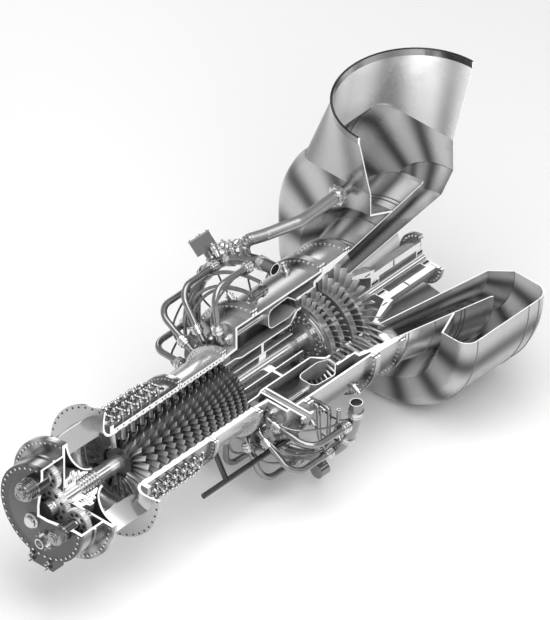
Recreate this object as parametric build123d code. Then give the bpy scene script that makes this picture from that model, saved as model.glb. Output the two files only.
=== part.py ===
from build123d import *
from math import cos, radians, sin, sqrt
import os

os.makedirs("parts", exist_ok=True)

# Sectioned two-shaft gas turbine, in millimetres.
# X runs along the rotor axis from the gearbox to the output end, Z is up.
# The origin is the centre of the output-end flange of the rear bearing housing.
# The quarter above the axis on the -Y side is cut away from everything that stands still.

# Stations along the axis, from the output end forwards
exhaust_entry_x = -1008
turbine_length = 342
combustor_length = 891
diffuser_length = 405
compressor_length = 1377
guide_vane_length = 95
bellmouth_depth = 112
inlet_gap = 470
gearbox_depth = 285
flange_t = 32

turbine_front_x = exhaust_entry_x - turbine_length
combustor_front_x = turbine_front_x - combustor_length
compressor_end_x = combustor_front_x - diffuser_length
compressor_start_x = compressor_end_x - compressor_length
case_front_x = compressor_start_x - guide_vane_length
bellmouth_x = case_front_x - bellmouth_depth
inlet_front_x = bellmouth_x - inlet_gap
gearbox_rear_x = inlet_front_x - flange_t
gearbox_front_x = gearbox_rear_x - gearbox_depth

# Main radii
case_r = 625
case_wall = 22
main_flange_r = 690
compressor_r = 350
compressor_wall = 52
compressor_flange_r = 455
hub_front_r = 150
hub_rear_r = 285
shaft_r = 65
stub_r = 75
output_r = 55

# Clearances
tip_gap = 7
journal_gap = 0.3
fit_gap = 0.1
run_gap = 8

# Half planes: profiles are drawn at +Z and turned from +Z towards +Y
section_axis = Axis((0, 0, 0), (-1, 0, 0))
kept_arc = 270
reach = 3000
cut_quarter = Pos(0, -reach / 2, reach / 2) * Box(4 * reach, reach, reach)


def profile(*points):
    """A closed straight-sided outline (x, radius) in the vertical half plane."""
    return Plane.XZ * make_face(Polyline(*points, close=True))


def skin(face_points, back_points):
    """A wall between two smooth curves (x, radius)."""
    front = Spline(*face_points)
    back = Spline(*back_points)
    ends = [Line(face_points[0], back_points[0]), Line(face_points[-1], back_points[-1])]
    return Plane.XZ * make_face([front, back] + ends)


def sectioned(face, arc=kept_arc):
    """Turn a profile about the axis, leaving out the cut-away quarter."""
    return revolve(face, section_axis, arc)


def whole(face):
    """Turn a profile right round the axis."""
    return revolve(face, Axis.X, 360)


def at_angle(solid, degrees_from_top):
    """Swing a piece made at +Z round the axis, from the top towards +Y."""
    return solid.rotate(section_axis, degrees_from_top)


def kept_angles(count):
    """Angles of a row of pieces spread over what the section leaves."""
    step = kept_arc / count
    return [step * (k + 0.5) for k in range(count)]


def rod(start_x, end_x, radius, y=0, z=0):
    """A round bar parallel to the axis."""
    plane = Plane((start_x, y, z), x_dir=(0, 1, 0), z_dir=(1, 0, 0))
    return plane * extrude(Circle(radius), end_x - start_x)


def post(x, bottom_z, top_z, radius, y=0):
    """A round bar standing along Z."""
    return Pos(x, y, bottom_z) * extrude(Circle(radius), top_z - bottom_z)


def pipe(points, bends, radius):
    """A round pipe along straight runs joined by bends."""
    path = FilletPolyline(*points, radius=bends)
    return sweep(Plane(path @ 0, z_dir=path % 0) * Circle(radius), path=path)


def aerofoil(x, radius, chord, thickness, stagger):
    """A cambered two-arc section at a radius, its chord turned from the axis."""
    half = chord / 2
    back = ThreePointArc((-half, 0), (0, 1.7 * thickness), (half, 0))
    belly = ThreePointArc((-half, 0), (0, 0.7 * thickness), (half, 0))
    section = Wire(back.edges() + belly.edges())
    return section.moved(Location((x, 0, radius), (0, 0, stagger)))


def blade(x, root_r, tip_r, chord, thickness, root_stagger, tip_stagger):
    """A twisted blade standing at +Z, thinner and slimmer at the tip."""
    root = aerofoil(x, root_r, chord, thickness, root_stagger)
    tip = aerofoil(x, tip_r, 0.86 * chord, 0.6 * thickness, tip_stagger)
    return Solid.make_loft([root, tip], ruled=True)


def keep(name, shape):
    """Write one piece to its own file."""
    export_step(shape, f"parts/{name}.step")


# Compressor stage layout: the pitch shrinks evenly from the first stage to the last
stage_count = 14
first_pitch = 126
last_pitch = 2 * compressor_length / stage_count - first_pitch
rotor_share = 0.42
stator_share = 0.34
row_gap_share = 0.12
variable_rows = 6


def stage_pitch(stage):
    return first_pitch + (last_pitch - first_pitch) * stage / (stage_count - 1)


def stage_x(stage):
    """Where a stage begins."""
    return compressor_start_x + sum(stage_pitch(k) for k in range(stage))


def hub_r(x):
    """Outer radius of the compressor drum."""
    share = min(max((x - compressor_start_x) / compressor_length, 0), 1)
    return hub_front_r + (hub_rear_r - hub_front_r) * share ** 0.75


def rotor_blades(stage):
    return 24 + round(2.4 * stage)


def stator_vanes(stage):
    return 18 + round(1.1 * stage)


# Compressor rotor: a drum in three lengths, with the blades of every stage on it
drum_wall = 24
drum_groups = {"compressor_rotor_front": (0, 5), "compressor_rotor_middle": (5, 10),
               "compressor_rotor_rear": (10, 14)}
web_t = 30


def drum(first, last):
    """One length of the drum with a web down to the shaft at its front end."""
    start = stage_x(first) - (run_gap if first == 0 else 0)
    xs = [start] + [stage_x(k) for k in range(first + 1, last + 1)]
    outside = [(x, hub_r(x)) for x in xs]
    inside = [(x, hub_r(x) - drum_wall) for x in reversed(xs[1:])]
    web_x = start + web_t
    bore = (stub_r if first == 0 else shaft_r) + fit_gap
    web = [(web_x, hub_r(web_x) - drum_wall), (web_x, bore), (start, bore)]
    return whole(profile(*outside, *inside, *web))


def rotor_row(stage):
    """The blades of one compressor stage."""
    pitch = stage_pitch(stage)
    chord = rotor_share * pitch
    middle = stage_x(stage) + chord / 2 + 2
    root = hub_r(middle - chord / 2) - drum_wall / 3
    one = blade(middle, root, compressor_r - tip_gap, 1.12 * chord, 0.085 * chord, 24, 50)
    count = rotor_blades(stage)
    return [one.rotate(Axis.X, 360 * k / count) for k in range(count)]


for name, (first, last) in drum_groups.items():
    blades = [one for stage in range(first, last) for one in rotor_row(stage)]
    keep(name, drum(first, last).fuse(*blades))

# Stator vanes: each row is a thin band under the case with its vanes hanging inwards
band_t = 8


def vane_row(middle, chord, count, stagger):
    """A row of fixed vanes on a band that lies against the case."""
    low = middle - 0.5 * chord
    high = middle + 0.5 * chord
    outer = compressor_r - fit_gap
    inner = outer - band_t
    band = sectioned(profile((low, inner), (high, inner), (high, outer), (low, outer)))
    inner_end = hub_r(high) + tip_gap
    one = blade(middle, inner_end, inner + band_t / 2, 1.05 * chord, 0.09 * chord, stagger, stagger - 8)
    return band.fuse(*[at_angle(one, angle) for angle in kept_angles(count)])


def stator_row(stage):
    pitch = stage_pitch(stage)
    middle = stage_x(stage) + (rotor_share + row_gap_share + stator_share / 2) * pitch
    return vane_row(middle, stator_share * pitch, stator_vanes(stage), -28)


guide_vane_x = compressor_start_x - 0.5 * guide_vane_length
guide_vane_chord = 56
vane_rows = [vane_row(guide_vane_x, guide_vane_chord, stator_vanes(0), -12)]
vane_rows += [stator_row(stage) for stage in range(stage_count)]
front_row_count = 8
keep("stator_vanes_front", Compound(vane_rows[:front_row_count]))
keep("stator_vanes_rear", Compound(vane_rows[front_row_count:]))

# Compressor case: a front half with the spindles of the variable vanes, and a rear half
case_split_x = stage_x(front_row_count - 1)
case_out_r = compressor_r + compressor_wall
case_flange_t = 24


def case_length(start, end):
    """One length of the compressor case with a bolting flange at each end."""
    return sectioned(profile((start, compressor_r), (end, compressor_r),
                             (end, compressor_flange_r), (end - case_flange_t, compressor_flange_r),
                             (end - case_flange_t, case_out_r), (start + case_flange_t, case_out_r),
                             (start + case_flange_t, compressor_flange_r),
                             (start, compressor_flange_r)))


spindle_r = 17
spindle_top = case_out_r + 48
lever_t = 8
lever_reach = 30
spindle_count = 22


def variable_x(row):
    """Where the spindles of a variable vane row stand."""
    if row == 0:
        return guide_vane_x
    pitch = stage_pitch(row - 1)
    return stage_x(row - 1) + (rotor_share + row_gap_share + stator_share / 2) * pitch


spindles = [at_angle(post(variable_x(row), compressor_r + 20, spindle_top, spindle_r), angle)
            for row in range(variable_rows) for angle in kept_angles(spindle_count)]
keep("compressor_case_front", case_length(case_front_x, case_split_x).fuse(*spindles))
keep("compressor_case_rear", case_length(case_split_x, compressor_end_x))

# Unison rings: one ring per variable row, with a lever to every spindle
ring_section = 18


def unison_ring(row):
    x = variable_x(row) + lever_reach
    low = spindle_top + lever_t / 2
    ring = sectioned(profile((x, low), (x + ring_section, low),
                             (x + ring_section, low + ring_section), (x, low + ring_section)))
    lever = Pos(x - lever_reach / 2 + 2, 0, spindle_top + lever_t / 2) * Box(
        lever_reach + 2 * spindle_r, 1.6 * spindle_r, lever_t)
    return ring.fuse(*[at_angle(lever, angle) for angle in kept_angles(spindle_count)])


keep("unison_rings", Compound([unison_ring(row) for row in range(variable_rows)]))

# Air inlet: a trumpet-shaped front wall and a rolled bellmouth, joined by struts
inlet_flange_r = 600
inlet_wall = 22
nose_r = 135
nose_x = case_front_x - 265
trumpet = [(inlet_front_x, inlet_flange_r), (inlet_front_x + 45, 420), (inlet_front_x + 120, 290),
           (inlet_front_x + 205, 195), (nose_x, nose_r)]
trumpet_back = [(x - inlet_wall * lean, r - inlet_wall * (1 - lean))
                for (x, r), lean in zip(trumpet, (1, 1, 0.85, 0.6, 0))]
front_wall = sectioned(skin(trumpet, trumpet_back))
inlet_flange = sectioned(profile((gearbox_rear_x, inlet_flange_r - 45), (inlet_front_x, inlet_flange_r - 45),
                                 (inlet_front_x, inlet_flange_r), (gearbox_rear_x, inlet_flange_r)))
front_wall = front_wall.fuse(inlet_flange)
keep("inlet_front_wall", front_wall)

bell_r = 660
bell_t = 20
lip = [(bellmouth_x + 15, bell_r), (bellmouth_x - 8, 500), (bellmouth_x + 8, 420),
       (bellmouth_x + 50, 368), (case_front_x, compressor_r)]
lip_back = [(bellmouth_x + 15 + bell_t, bell_r), (bellmouth_x - 8 + bell_t, 502),
            (bellmouth_x + 28, 432), (bellmouth_x + 62, 392), (case_front_x, compressor_r + bell_t)]
rear_wall = sectioned(skin(lip, lip_back))
bell_flange = sectioned(profile((case_front_x - case_flange_t, compressor_r + bell_t / 2),
                                (case_front_x, compressor_r + bell_t / 2),
                                (case_front_x, compressor_flange_r),
                                (case_front_x - case_flange_t, compressor_flange_r)))
rear_wall = rear_wall.fuse(bell_flange)
keep("inlet_rear_wall", rear_wall)

strut_angles = [17, 77, 137, 197, 253]
strut_thickness = 34
strut_length = bellmouth_x - inlet_front_x
strut_top_r = 560
strut_foot_r = 340
strut_x = inlet_front_x + strut_length / 2 + 20
strut_plan = aerofoil(strut_x, strut_foot_r, strut_length + 60, strut_thickness / 2, 0)
strut_blank = extrude(make_face(strut_plan), amount=strut_top_r - strut_foot_r)
trumpet_fill = whole(Plane.XZ * make_face([Spline(*trumpet), Polyline(
    trumpet[-1], (nose_x, 0), (inlet_front_x - 200, 0), (inlet_front_x - 200, inlet_flange_r),
    trumpet[0])]))
lip_fill = whole(Plane.XZ * make_face([Spline(*lip), Polyline(
    lip[-1], (case_front_x + 200, compressor_r), (case_front_x + 200, bell_r), lip[0])]))
strut = strut_blank - trumpet_fill - lip_fill
keep("inlet_struts", Compound([at_angle(strut, angle).solids()[0] for angle in strut_angles]))

# Gearbox: drum case with a rear wall, dished cover with a foot, and the bearing of the stub shaft
drum_r = 490
drum_t = 22
gear_module = 7
bull_teeth = 48
spur_teeth = 36
gear_width = 60
centre_distance = gear_module * (bull_teeth + spur_teeth) / 2
starter_angle = -15
pump_angle = 97.5
spur_shaft_r = 30
boss_r = 62
boss_length = 60
cover_t = 30
gear_mid_x = (gearbox_front_x + gearbox_rear_x) / 2 + 10


def on_gear_circle(angle):
    """(y, z) of an accessory gear, its angle counted from the top towards -Y."""
    return (-centre_distance * sin(radians(angle)), centre_distance * cos(radians(angle)))


gear_places = {"starter": on_gear_circle(starter_angle), "pump": on_gear_circle(pump_angle)}
rear_plate_x = gearbox_rear_x - drum_t
housing_hole_r = 130
gearbox_case = sectioned(profile((gearbox_front_x, drum_r - drum_t), (rear_plate_x, drum_r - drum_t),
                                 (rear_plate_x, housing_hole_r), (gearbox_rear_x, housing_hole_r),
                                 (gearbox_rear_x, inlet_flange_r),
                                 (gearbox_rear_x - flange_t, inlet_flange_r),
                                 (gearbox_rear_x - flange_t, drum_r),
                                 (gearbox_front_x + 150, drum_r), (gearbox_front_x + 150, drum_r + 16),
                                 (gearbox_front_x + 125, drum_r + 16), (gearbox_front_x + 125, drum_r),
                                 (gearbox_front_x, drum_r)))
for y, z in gear_places.values():
    gearbox_case += rod(rear_plate_x - boss_length / 2, rear_plate_x + 5, boss_r, y, z)
    gearbox_case -= rod(rear_plate_x - boss_length, rear_plate_x + 8, spur_shaft_r + journal_gap, y, z)
keep("gearbox_case", gearbox_case)

dish_r = 395
dish_depth = 50
foot_width = 280
foot_depth = 140
foot_z = -590
cover_front_x = gearbox_front_x - cover_t
cover = sectioned(profile((cover_front_x - dish_depth, 0), (cover_front_x - dish_depth, 120),
                          (cover_front_x, dish_r), (cover_front_x, drum_r), (gearbox_front_x, drum_r),
                          (gearbox_front_x, dish_r - 30), (cover_front_x - dish_depth + cover_t, 100),
                          (cover_front_x - dish_depth + cover_t, 0)))
foot_height = -foot_z - drum_r + 60
cover += Pos(cover_front_x + cover_t / 2, 0, foot_z + foot_height / 2) * Box(
    cover_t, foot_width, foot_height)
cover += Pos(cover_front_x + foot_depth / 2, 0, (foot_z - drum_r) / 2 - 2) * Box(
    foot_depth, foot_width, -foot_z - drum_r - 4)
pad_r = 105
for y, z in gear_places.values():
    cover += rod(cover_front_x - 40, gearbox_front_x + boss_length, pad_r if y > 0 else 80, y, z)
    cover -= rod(cover_front_x - 60, gearbox_front_x + 2 * boss_length, spur_shaft_r + journal_gap, y, z)
keep("gearbox_cover", cover)

stud_r = 9
stud_length = 60
stud_y = 100
stud_zs = (foot_z + 30, foot_z + 95)
studs = [rod(cover_front_x - stud_length, cover_front_x, stud_r, y, z)
         for y in (-stud_y, stud_y) for z in stud_zs]
keep("cover_studs", Compound(studs))

starter_y, starter_z = gear_places["starter"]
starter_x = cover_front_x - 40
starter = rod(starter_x - 20, starter_x, pad_r, starter_y, starter_z)
starter += rod(starter_x - 130, starter_x - 20, 0.8 * pad_r, starter_y, starter_z)
starter += rod(starter_x - 165, starter_x - 130, 0.5 * pad_r, starter_y, starter_z)
starter -= rod(starter_x - 60, starter_x, spur_shaft_r + run_gap, starter_y, starter_z)
keep("starter", starter)

pump_y, pump_z = gear_places["pump"]
pump = rod(starter_x - 20, starter_x, 80, pump_y, pump_z)
pump += Pos(starter_x - 65, pump_y, pump_z) * Box(90, 110, 110)
pump += rod(starter_x - 140, starter_x - 110, 34, pump_y, pump_z)
pump -= rod(starter_x - 50, starter_x, spur_shaft_r + run_gap, pump_y, pump_z)
keep("lube_pump", pump)

front_housing_end_x = inlet_front_x + 110
front_housing = sectioned(profile((rear_plate_x, stub_r + journal_gap),
                                  (front_housing_end_x, stub_r + journal_gap),
                                  (front_housing_end_x, housing_hole_r - 15),
                                  (gearbox_rear_x + 26, housing_hole_r - 15),
                                  (gearbox_rear_x + 26, housing_hole_r + 70),
                                  (gearbox_rear_x, housing_hole_r + 70),
                                  (gearbox_rear_x, housing_hole_r - fit_gap),
                                  (rear_plate_x, housing_hole_r - fit_gap)))
keep("front_bearing_housing", front_housing)


def gear(teeth, bore, turn, y=0, z=0):
    """A spur gear about X with slim teeth, one tooth centred at the given turn from the top."""
    pitch_r = gear_module * teeth / 2
    root_r = pitch_r - 1.25 * gear_module
    tip_r = pitch_r + 0.95 * gear_module
    root_half = 0.92 * gear_module
    pitch_half = 0.72 * gear_module
    tip_half = 0.36 * gear_module
    flank = ThreePointArc((root_half, root_r - 2), (pitch_half, pitch_r), (tip_half, tip_r))
    tooth = make_face([flank, flank.mirror(Plane.YZ), Line((-tip_half, tip_r), (tip_half, tip_r)),
                       Line((-root_half, root_r - 2), (root_half, root_r - 2))])
    outline = Circle(root_r) + [Rot(0, 0, 360 * k / teeth) * tooth for k in range(teeth)]
    blank = extrude(outline - Circle(bore), gear_width)
    plane = Plane((gear_mid_x - gear_width / 2, y, z), x_dir=(0, 1, 0), z_dir=(1, 0, 0))
    return (plane * blank).rotate(Axis((0, y, z), (1, 0, 0)), turn)


keep("bull_gear", gear(bull_teeth, stub_r + fit_gap, 0))
spur_step = 360 / spur_teeth
spur_end_x = rear_plate_x + 4
for name, angle in {"starter": starter_angle, "pump": pump_angle}.items():
    y, z = gear_places[name]
    facing = angle + 180 + spur_step / 2
    spur = gear(spur_teeth, spur_shaft_r / 2, facing, y, z)
    keep(f"{name}_gear", spur + rod(cover_front_x - 34, spur_end_x, spur_shaft_r, y, z))

# Gas-generator shaft with its seal sleeve
gg_shaft_front_x = gearbox_front_x + 30
sleeve_start_x = front_housing_end_x + run_gap
sleeve_end_x = nose_x + 20
groove_pitch = (sleeve_end_x - sleeve_start_x) / 6
sleeve_r = 98
sleeve_points = [(sleeve_start_x, stub_r + fit_gap)]
for k in range(6):
    left = sleeve_start_x + k * groove_pitch
    sleeve_points += [(left, sleeve_r), (left + 0.55 * groove_pitch, sleeve_r),
                      (left + 0.7 * groove_pitch, sleeve_r - 11), (left + 0.9 * groove_pitch, sleeve_r - 11)]
sleeve_points += [(sleeve_end_x, sleeve_r), (sleeve_end_x, stub_r + fit_gap)]
keep("seal_sleeve", whole(profile(*sleeve_points)))

# Turbine layout: nozzle and rotor rows, each (start, end) measured from the exhaust entry
turbine_hub_r = 365
gg_tip_r = 480
nozzle_spans = [(-672, -617), (-542, -497), (-412, -347), (-254, -192)]
rotor_spans = [(-607, -552), (-487, -432), (-332, -267), (-180, -102)]
pt_case_front_x = exhaust_entry_x - 425
pt_case_front_r = 527
exhaust_outer_r = 615


def turbine_case_r(x):
    """Inner radius of the turbine case."""
    if x < pt_case_front_x:
        return gg_tip_r
    share = (x - pt_case_front_x) / (exhaust_entry_x - pt_case_front_x)
    return pt_case_front_r + (exhaust_outer_r - pt_case_front_r) * share


gg_shaft_end_x = exhaust_entry_x + rotor_spans[1][1] - 8
gg_shaft = rod(gg_shaft_front_x, stage_x(5) - run_gap, stub_r)
gg_shaft += rod(stage_x(5) - run_gap, gg_shaft_end_x, shaft_r)
keep("gas_generator_shaft", gg_shaft)

disc_web_t = 26


def turbine_wheel(span, bore, count):
    """A turbine disc with its row of blades."""
    start, end = (exhaust_entry_x + value for value in span)
    middle = (start + end) / 2
    rim_r = turbine_hub_r
    hub_half = (end - start) / 2 + 8
    web_front, web_rear = middle - disc_web_t / 2, middle + disc_web_t / 2
    disc = whole(profile((start, rim_r), (end, rim_r), (end, rim_r - 34), (web_rear, rim_r - 60),
                         (web_rear, bore + 70), (middle + hub_half, bore + 45), (middle + hub_half, bore),
                         (middle - hub_half, bore), (middle - hub_half, bore + 45),
                         (web_front, bore + 70), (web_front, rim_r - 60), (start, rim_r - 34)))
    chord = 0.9 * (end - start)
    tip = turbine_case_r(start) - tip_gap
    one = blade(middle, rim_r - 10, tip, chord, 0.14 * chord, -18, -44)
    return disc.fuse(*[one.rotate(Axis.X, 360 * k / count) for k in range(count)])


keep("gas_generator_wheel_1", turbine_wheel(rotor_spans[0], shaft_r + fit_gap, 46))
keep("gas_generator_wheel_2", turbine_wheel(rotor_spans[1], shaft_r + fit_gap, 46))
keep("power_wheel_1", turbine_wheel(rotor_spans[2], output_r + fit_gap, 48))
keep("power_wheel_2", turbine_wheel(rotor_spans[3], output_r + fit_gap, 44))
output_front_x = exhaust_entry_x + rotor_spans[2][0] - 20
keep("output_shaft", rod(output_front_x, -15, output_r))

# Turbine nozzles: bands and vanes between the wheels
nozzle_band_t = 12


def nozzle(span, count):
    start, end = (exhaust_entry_x + value for value in span)
    middle = (start + end) / 2
    front_r = turbine_case_r(start) - fit_gap
    rear_r = turbine_case_r(end) - fit_gap
    outer = sectioned(profile((start, front_r - nozzle_band_t), (end, rear_r - nozzle_band_t),
                              (end, rear_r), (start, front_r)))
    inner_r = turbine_hub_r
    inner = sectioned(profile((start, inner_r - 2 * nozzle_band_t), (end, inner_r - 2 * nozzle_band_t),
                              (end, inner_r), (start, inner_r)))
    chord = 0.86 * (end - start)
    one = blade(middle, inner_r - nozzle_band_t, front_r - nozzle_band_t / 2, chord, 0.15 * chord, 28, 24)
    return outer.fuse(inner, *[at_angle(one, angle) for angle in kept_angles(count)])


nozzles = [nozzle(span, 26) for span in nozzle_spans]
keep("gas_generator_nozzles", Compound(nozzles[:2]))
keep("power_turbine_nozzles", Compound(nozzles[2:]))

support_t = 18
step_t = 28
support_front_x = exhaust_entry_x + nozzle_spans[0][0] - 8
turbine_case = sectioned(profile(
    (support_front_x, gg_tip_r), (support_front_x, gg_tip_r + support_t),
    (pt_case_front_x - step_t, gg_tip_r + support_t), (pt_case_front_x - step_t, pt_case_front_r + step_t),
    (turbine_front_x, pt_case_front_r + 2 * step_t), (turbine_front_x, main_flange_r),
    (turbine_front_x + flange_t, main_flange_r), (turbine_front_x + flange_t, exhaust_outer_r + 25),
    (exhaust_entry_x - flange_t, exhaust_outer_r + 40), (exhaust_entry_x - flange_t, main_flange_r),
    (exhaust_entry_x, main_flange_r), (exhaust_entry_x, exhaust_outer_r),
    (pt_case_front_x, pt_case_front_r), (pt_case_front_x, gg_tip_r)))
keep("turbine_case", turbine_case)

# Combustor: casings, annular liner and the bearing tube round the shaft
keep("combustor_case", sectioned(profile(
    (combustor_front_x, case_r - case_wall), (turbine_front_x, case_r - case_wall),
    (turbine_front_x, main_flange_r), (turbine_front_x - flange_t, main_flange_r),
    (turbine_front_x - flange_t, case_r), (combustor_front_x + flange_t, case_r),
    (combustor_front_x + flange_t, main_flange_r), (combustor_front_x, main_flange_r))))

dome_x = compressor_end_x + 153
dome_t = 23
dome_corner_r = 395
injector_circle_r = 455
injector_count = 10
injector_r = 38
roof_rise = 18


def diffuser_roof_r(x):
    """Inner radius of the diffuser case over the passage behind the compressor."""
    return compressor_r + roof_rise * (x - compressor_end_x) / (dome_x + dome_t - compressor_end_x)


diffuser_case = sectioned(profile(
    (compressor_end_x, compressor_r), (dome_x + dome_t, diffuser_roof_r(dome_x + dome_t)),
    (dome_x + dome_t, case_r - case_wall), (combustor_front_x, case_r - case_wall),
    (combustor_front_x, main_flange_r), (combustor_front_x - flange_t, main_flange_r),
    (combustor_front_x - flange_t, case_r), (dome_x, case_r), (dome_x, dome_corner_r),
    (compressor_end_x + case_flange_t, dome_corner_r - 10),
    (compressor_end_x + case_flange_t, compressor_flange_r), (compressor_end_x, compressor_flange_r)))
hole = rod(dome_x - 50, dome_x + 80, injector_r + fit_gap, 0, injector_circle_r)
diffuser_case -= [at_angle(hole, angle) for angle in kept_angles(injector_count)]

# Service strut: a hollow radial strut on the -Y side, cut along its length by the section
service_x = combustor_front_x - 160
service_r = 46
service_bore_r = 27
service_end_r = 800
service_flange_r = 78
service_flange_t = 24


def radial_bar(start_r, end_r, radius):
    """A round bar standing out from the axis towards -Y at the service strut."""
    plane = Plane((service_x, -start_r, 0), x_dir=(1, 0, 0), z_dir=(0, -1, 0))
    return plane * extrude(Circle(radius), end_r - start_r)


service_hole = radial_bar(case_r - 2 * case_wall, case_r + case_wall, service_r + fit_gap)
keep("diffuser_case", diffuser_case - service_hole)

liner_front_x = combustor_front_x + 186
liner_end_x = support_front_x
liner_t = 8
liner_path = FilletPolyline((liner_end_x, turbine_hub_r + 12), (liner_front_x + 270, 336),
                            (liner_front_x, 345), (liner_front_x, 555),
                            (liner_front_x + 250, 575), (liner_end_x, gg_tip_r - 8),
                            radius=[60, 70, 70, 60])
liner = sectioned(Plane.XZ * trace(liner_path, liner_t))
hole = rod(liner_front_x - 60, liner_front_x + 60, injector_r + fit_gap, 0, injector_circle_r)
liner -= [at_angle(hole, angle) for angle in kept_angles(injector_count)]
keep("combustor_liner", liner)

injector_flange_r = 58
injector_stub = 40
injector = rod(dome_x - 24, dome_x, injector_flange_r, 0, injector_circle_r)
injector += rod(dome_x - injector_stub, liner_front_x + 14, injector_r, 0, injector_circle_r)
keep("fuel_injectors", Compound([at_angle(injector, angle) for angle in kept_angles(injector_count)]))

inner_case_r = 250
inner_wall = 16
inner_rear_x = exhaust_entry_x + nozzle_spans[0][0]
hub_exit_r = hub_rear_r - 5
keep("inner_case", sectioned(profile(
    (compressor_end_x + run_gap, hub_exit_r - inner_wall), (compressor_end_x + run_gap, hub_exit_r),
    (dome_x, hub_exit_r), (dome_x + 80, inner_case_r), (inner_rear_x - 90, inner_case_r),
    (inner_rear_x - 22, turbine_hub_r - 10), (inner_rear_x, turbine_hub_r - 10),
    (inner_rear_x, turbine_hub_r - 34), (inner_rear_x - 90, inner_case_r - inner_wall),
    (dome_x + 80, inner_case_r - inner_wall), (dome_x, hub_exit_r - inner_wall))))

inner_fill = whole(profile((dome_x, 0), (dome_x, hub_exit_r), (dome_x + 80, inner_case_r),
                           (inner_rear_x - 90, inner_case_r), (inner_rear_x - 90, 0)))
service_strut = radial_bar(inner_case_r - 40, service_end_r, service_r)
service_strut += radial_bar(service_end_r - service_flange_t, service_end_r, service_flange_r)
service_strut -= radial_bar(0, service_end_r + service_flange_t, service_bore_r)
keep("service_strut", (service_strut - inner_fill - cut_quarter).solids()[0])

strut_arc = 5
strut_front_x = compressor_end_x + 60
strut_rear_x = dome_x - 10
strut_face = profile((strut_front_x, hub_exit_r), (strut_rear_x, hub_exit_r),
                     (strut_rear_x, diffuser_roof_r(strut_rear_x)),
                     (strut_front_x, diffuser_roof_r(strut_front_x)))
diffuser_strut = revolve(strut_face, section_axis, strut_arc)
diffuser_strut_count = 9
keep("diffuser_struts", Compound([at_angle(diffuser_strut, angle - strut_arc / 2)
                                  for angle in kept_angles(diffuser_strut_count)]))

tube_r = 130
tube_t = 12
plate_half = 15
plate_r = inner_case_r - inner_wall - fit_gap
bearing_x = combustor_front_x + 105
bearing_half = 45
keep("centre_bearing_housing", sectioned(profile(
    (dome_x - 60, tube_r - tube_t), (dome_x - 60, tube_r), (bearing_x - plate_half, tube_r),
    (bearing_x - plate_half, plate_r), (bearing_x + plate_half, plate_r),
    (bearing_x + plate_half, tube_r), (inner_rear_x - 60, tube_r), (inner_rear_x - 60, tube_r - tube_t),
    (bearing_x + bearing_half, tube_r - tube_t), (bearing_x + bearing_half, shaft_r + journal_gap),
    (bearing_x - bearing_half, shaft_r + journal_gap), (bearing_x - bearing_half, tube_r - tube_t))))

# Exhaust: annular diffuser, struts, rear bearing housing and collector
sheet_t = 10
inner_cone_front_r = 372
inner_cone_rear_x = 240
inner_cone_rear_r = 569
outer_lip_x = -22
outer_lip_r = 833
collector_front_x = -708
collector_rear_x = 406
rear_hole_r = 760
front_hole_r = 880
front_cone_x = -430


def inner_cone_r(x):
    share = (x - exhaust_entry_x) / (inner_cone_rear_x - exhaust_entry_x)
    return inner_cone_front_r + (inner_cone_rear_r - inner_cone_front_r) * share


def outer_cone_r(x):
    share = (x - exhaust_entry_x) / (outer_lip_x - exhaust_entry_x)
    return exhaust_outer_r + (outer_lip_r - exhaust_outer_r) * share


cone_flange_t = 18
keep("diffuser_outer_wall", sectioned(profile(
    (exhaust_entry_x, exhaust_outer_r), (outer_lip_x, outer_lip_r), (outer_lip_x + 22, outer_lip_r + 12),
    (outer_lip_x + 16, outer_lip_r + 30), (outer_lip_x - 8, outer_cone_r(outer_lip_x - 8) + sheet_t),
    (exhaust_entry_x + cone_flange_t, outer_cone_r(exhaust_entry_x + cone_flange_t) + sheet_t),
    (exhaust_entry_x + cone_flange_t, main_flange_r), (exhaust_entry_x, main_flange_r))))

land_r = 300
keep("diffuser_inner_wall", sectioned(profile(
    (exhaust_entry_x, inner_cone_front_r), (inner_cone_rear_x, inner_cone_rear_r),
    (collector_rear_x - sheet_t, rear_hole_r - sheet_t), (collector_rear_x - sheet_t, rear_hole_r),
    (collector_rear_x, rear_hole_r), (collector_rear_x, rear_hole_r - 14),
    (inner_cone_rear_x + 4, inner_cone_rear_r - sheet_t - 2),
    (exhaust_entry_x + cone_flange_t, inner_cone_r(exhaust_entry_x + cone_flange_t) - sheet_t),
    (exhaust_entry_x + cone_flange_t, land_r), (exhaust_entry_x, land_r))))

bearing_land = 90
barrel_r = 190
end_flange_r = 255
web_rear_x = exhaust_entry_x + 330
barrel_in_r = 120
land_front_x = exhaust_entry_x + cone_flange_t
keep("rear_bearing_housing", sectioned(profile(
    (land_front_x, land_r), (land_front_x, inner_cone_r(land_front_x) - sheet_t - 8),
    (land_front_x + 24, inner_cone_r(land_front_x) - sheet_t - 8), (land_front_x + 24, land_r + 20),
    (web_rear_x, barrel_r + 40), (web_rear_x + 26, barrel_r + 40), (web_rear_x + 26, barrel_r),
    (-flange_t, barrel_r), (-flange_t, end_flange_r), (0, end_flange_r), (0, output_r + journal_gap),
    (-bearing_land, output_r + journal_gap), (-bearing_land, barrel_in_r),
    (web_rear_x + bearing_land, barrel_in_r), (web_rear_x + bearing_land, output_r + journal_gap),
    (web_rear_x - 20, output_r + journal_gap), (web_rear_x - 20, barrel_in_r + 40))))

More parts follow.
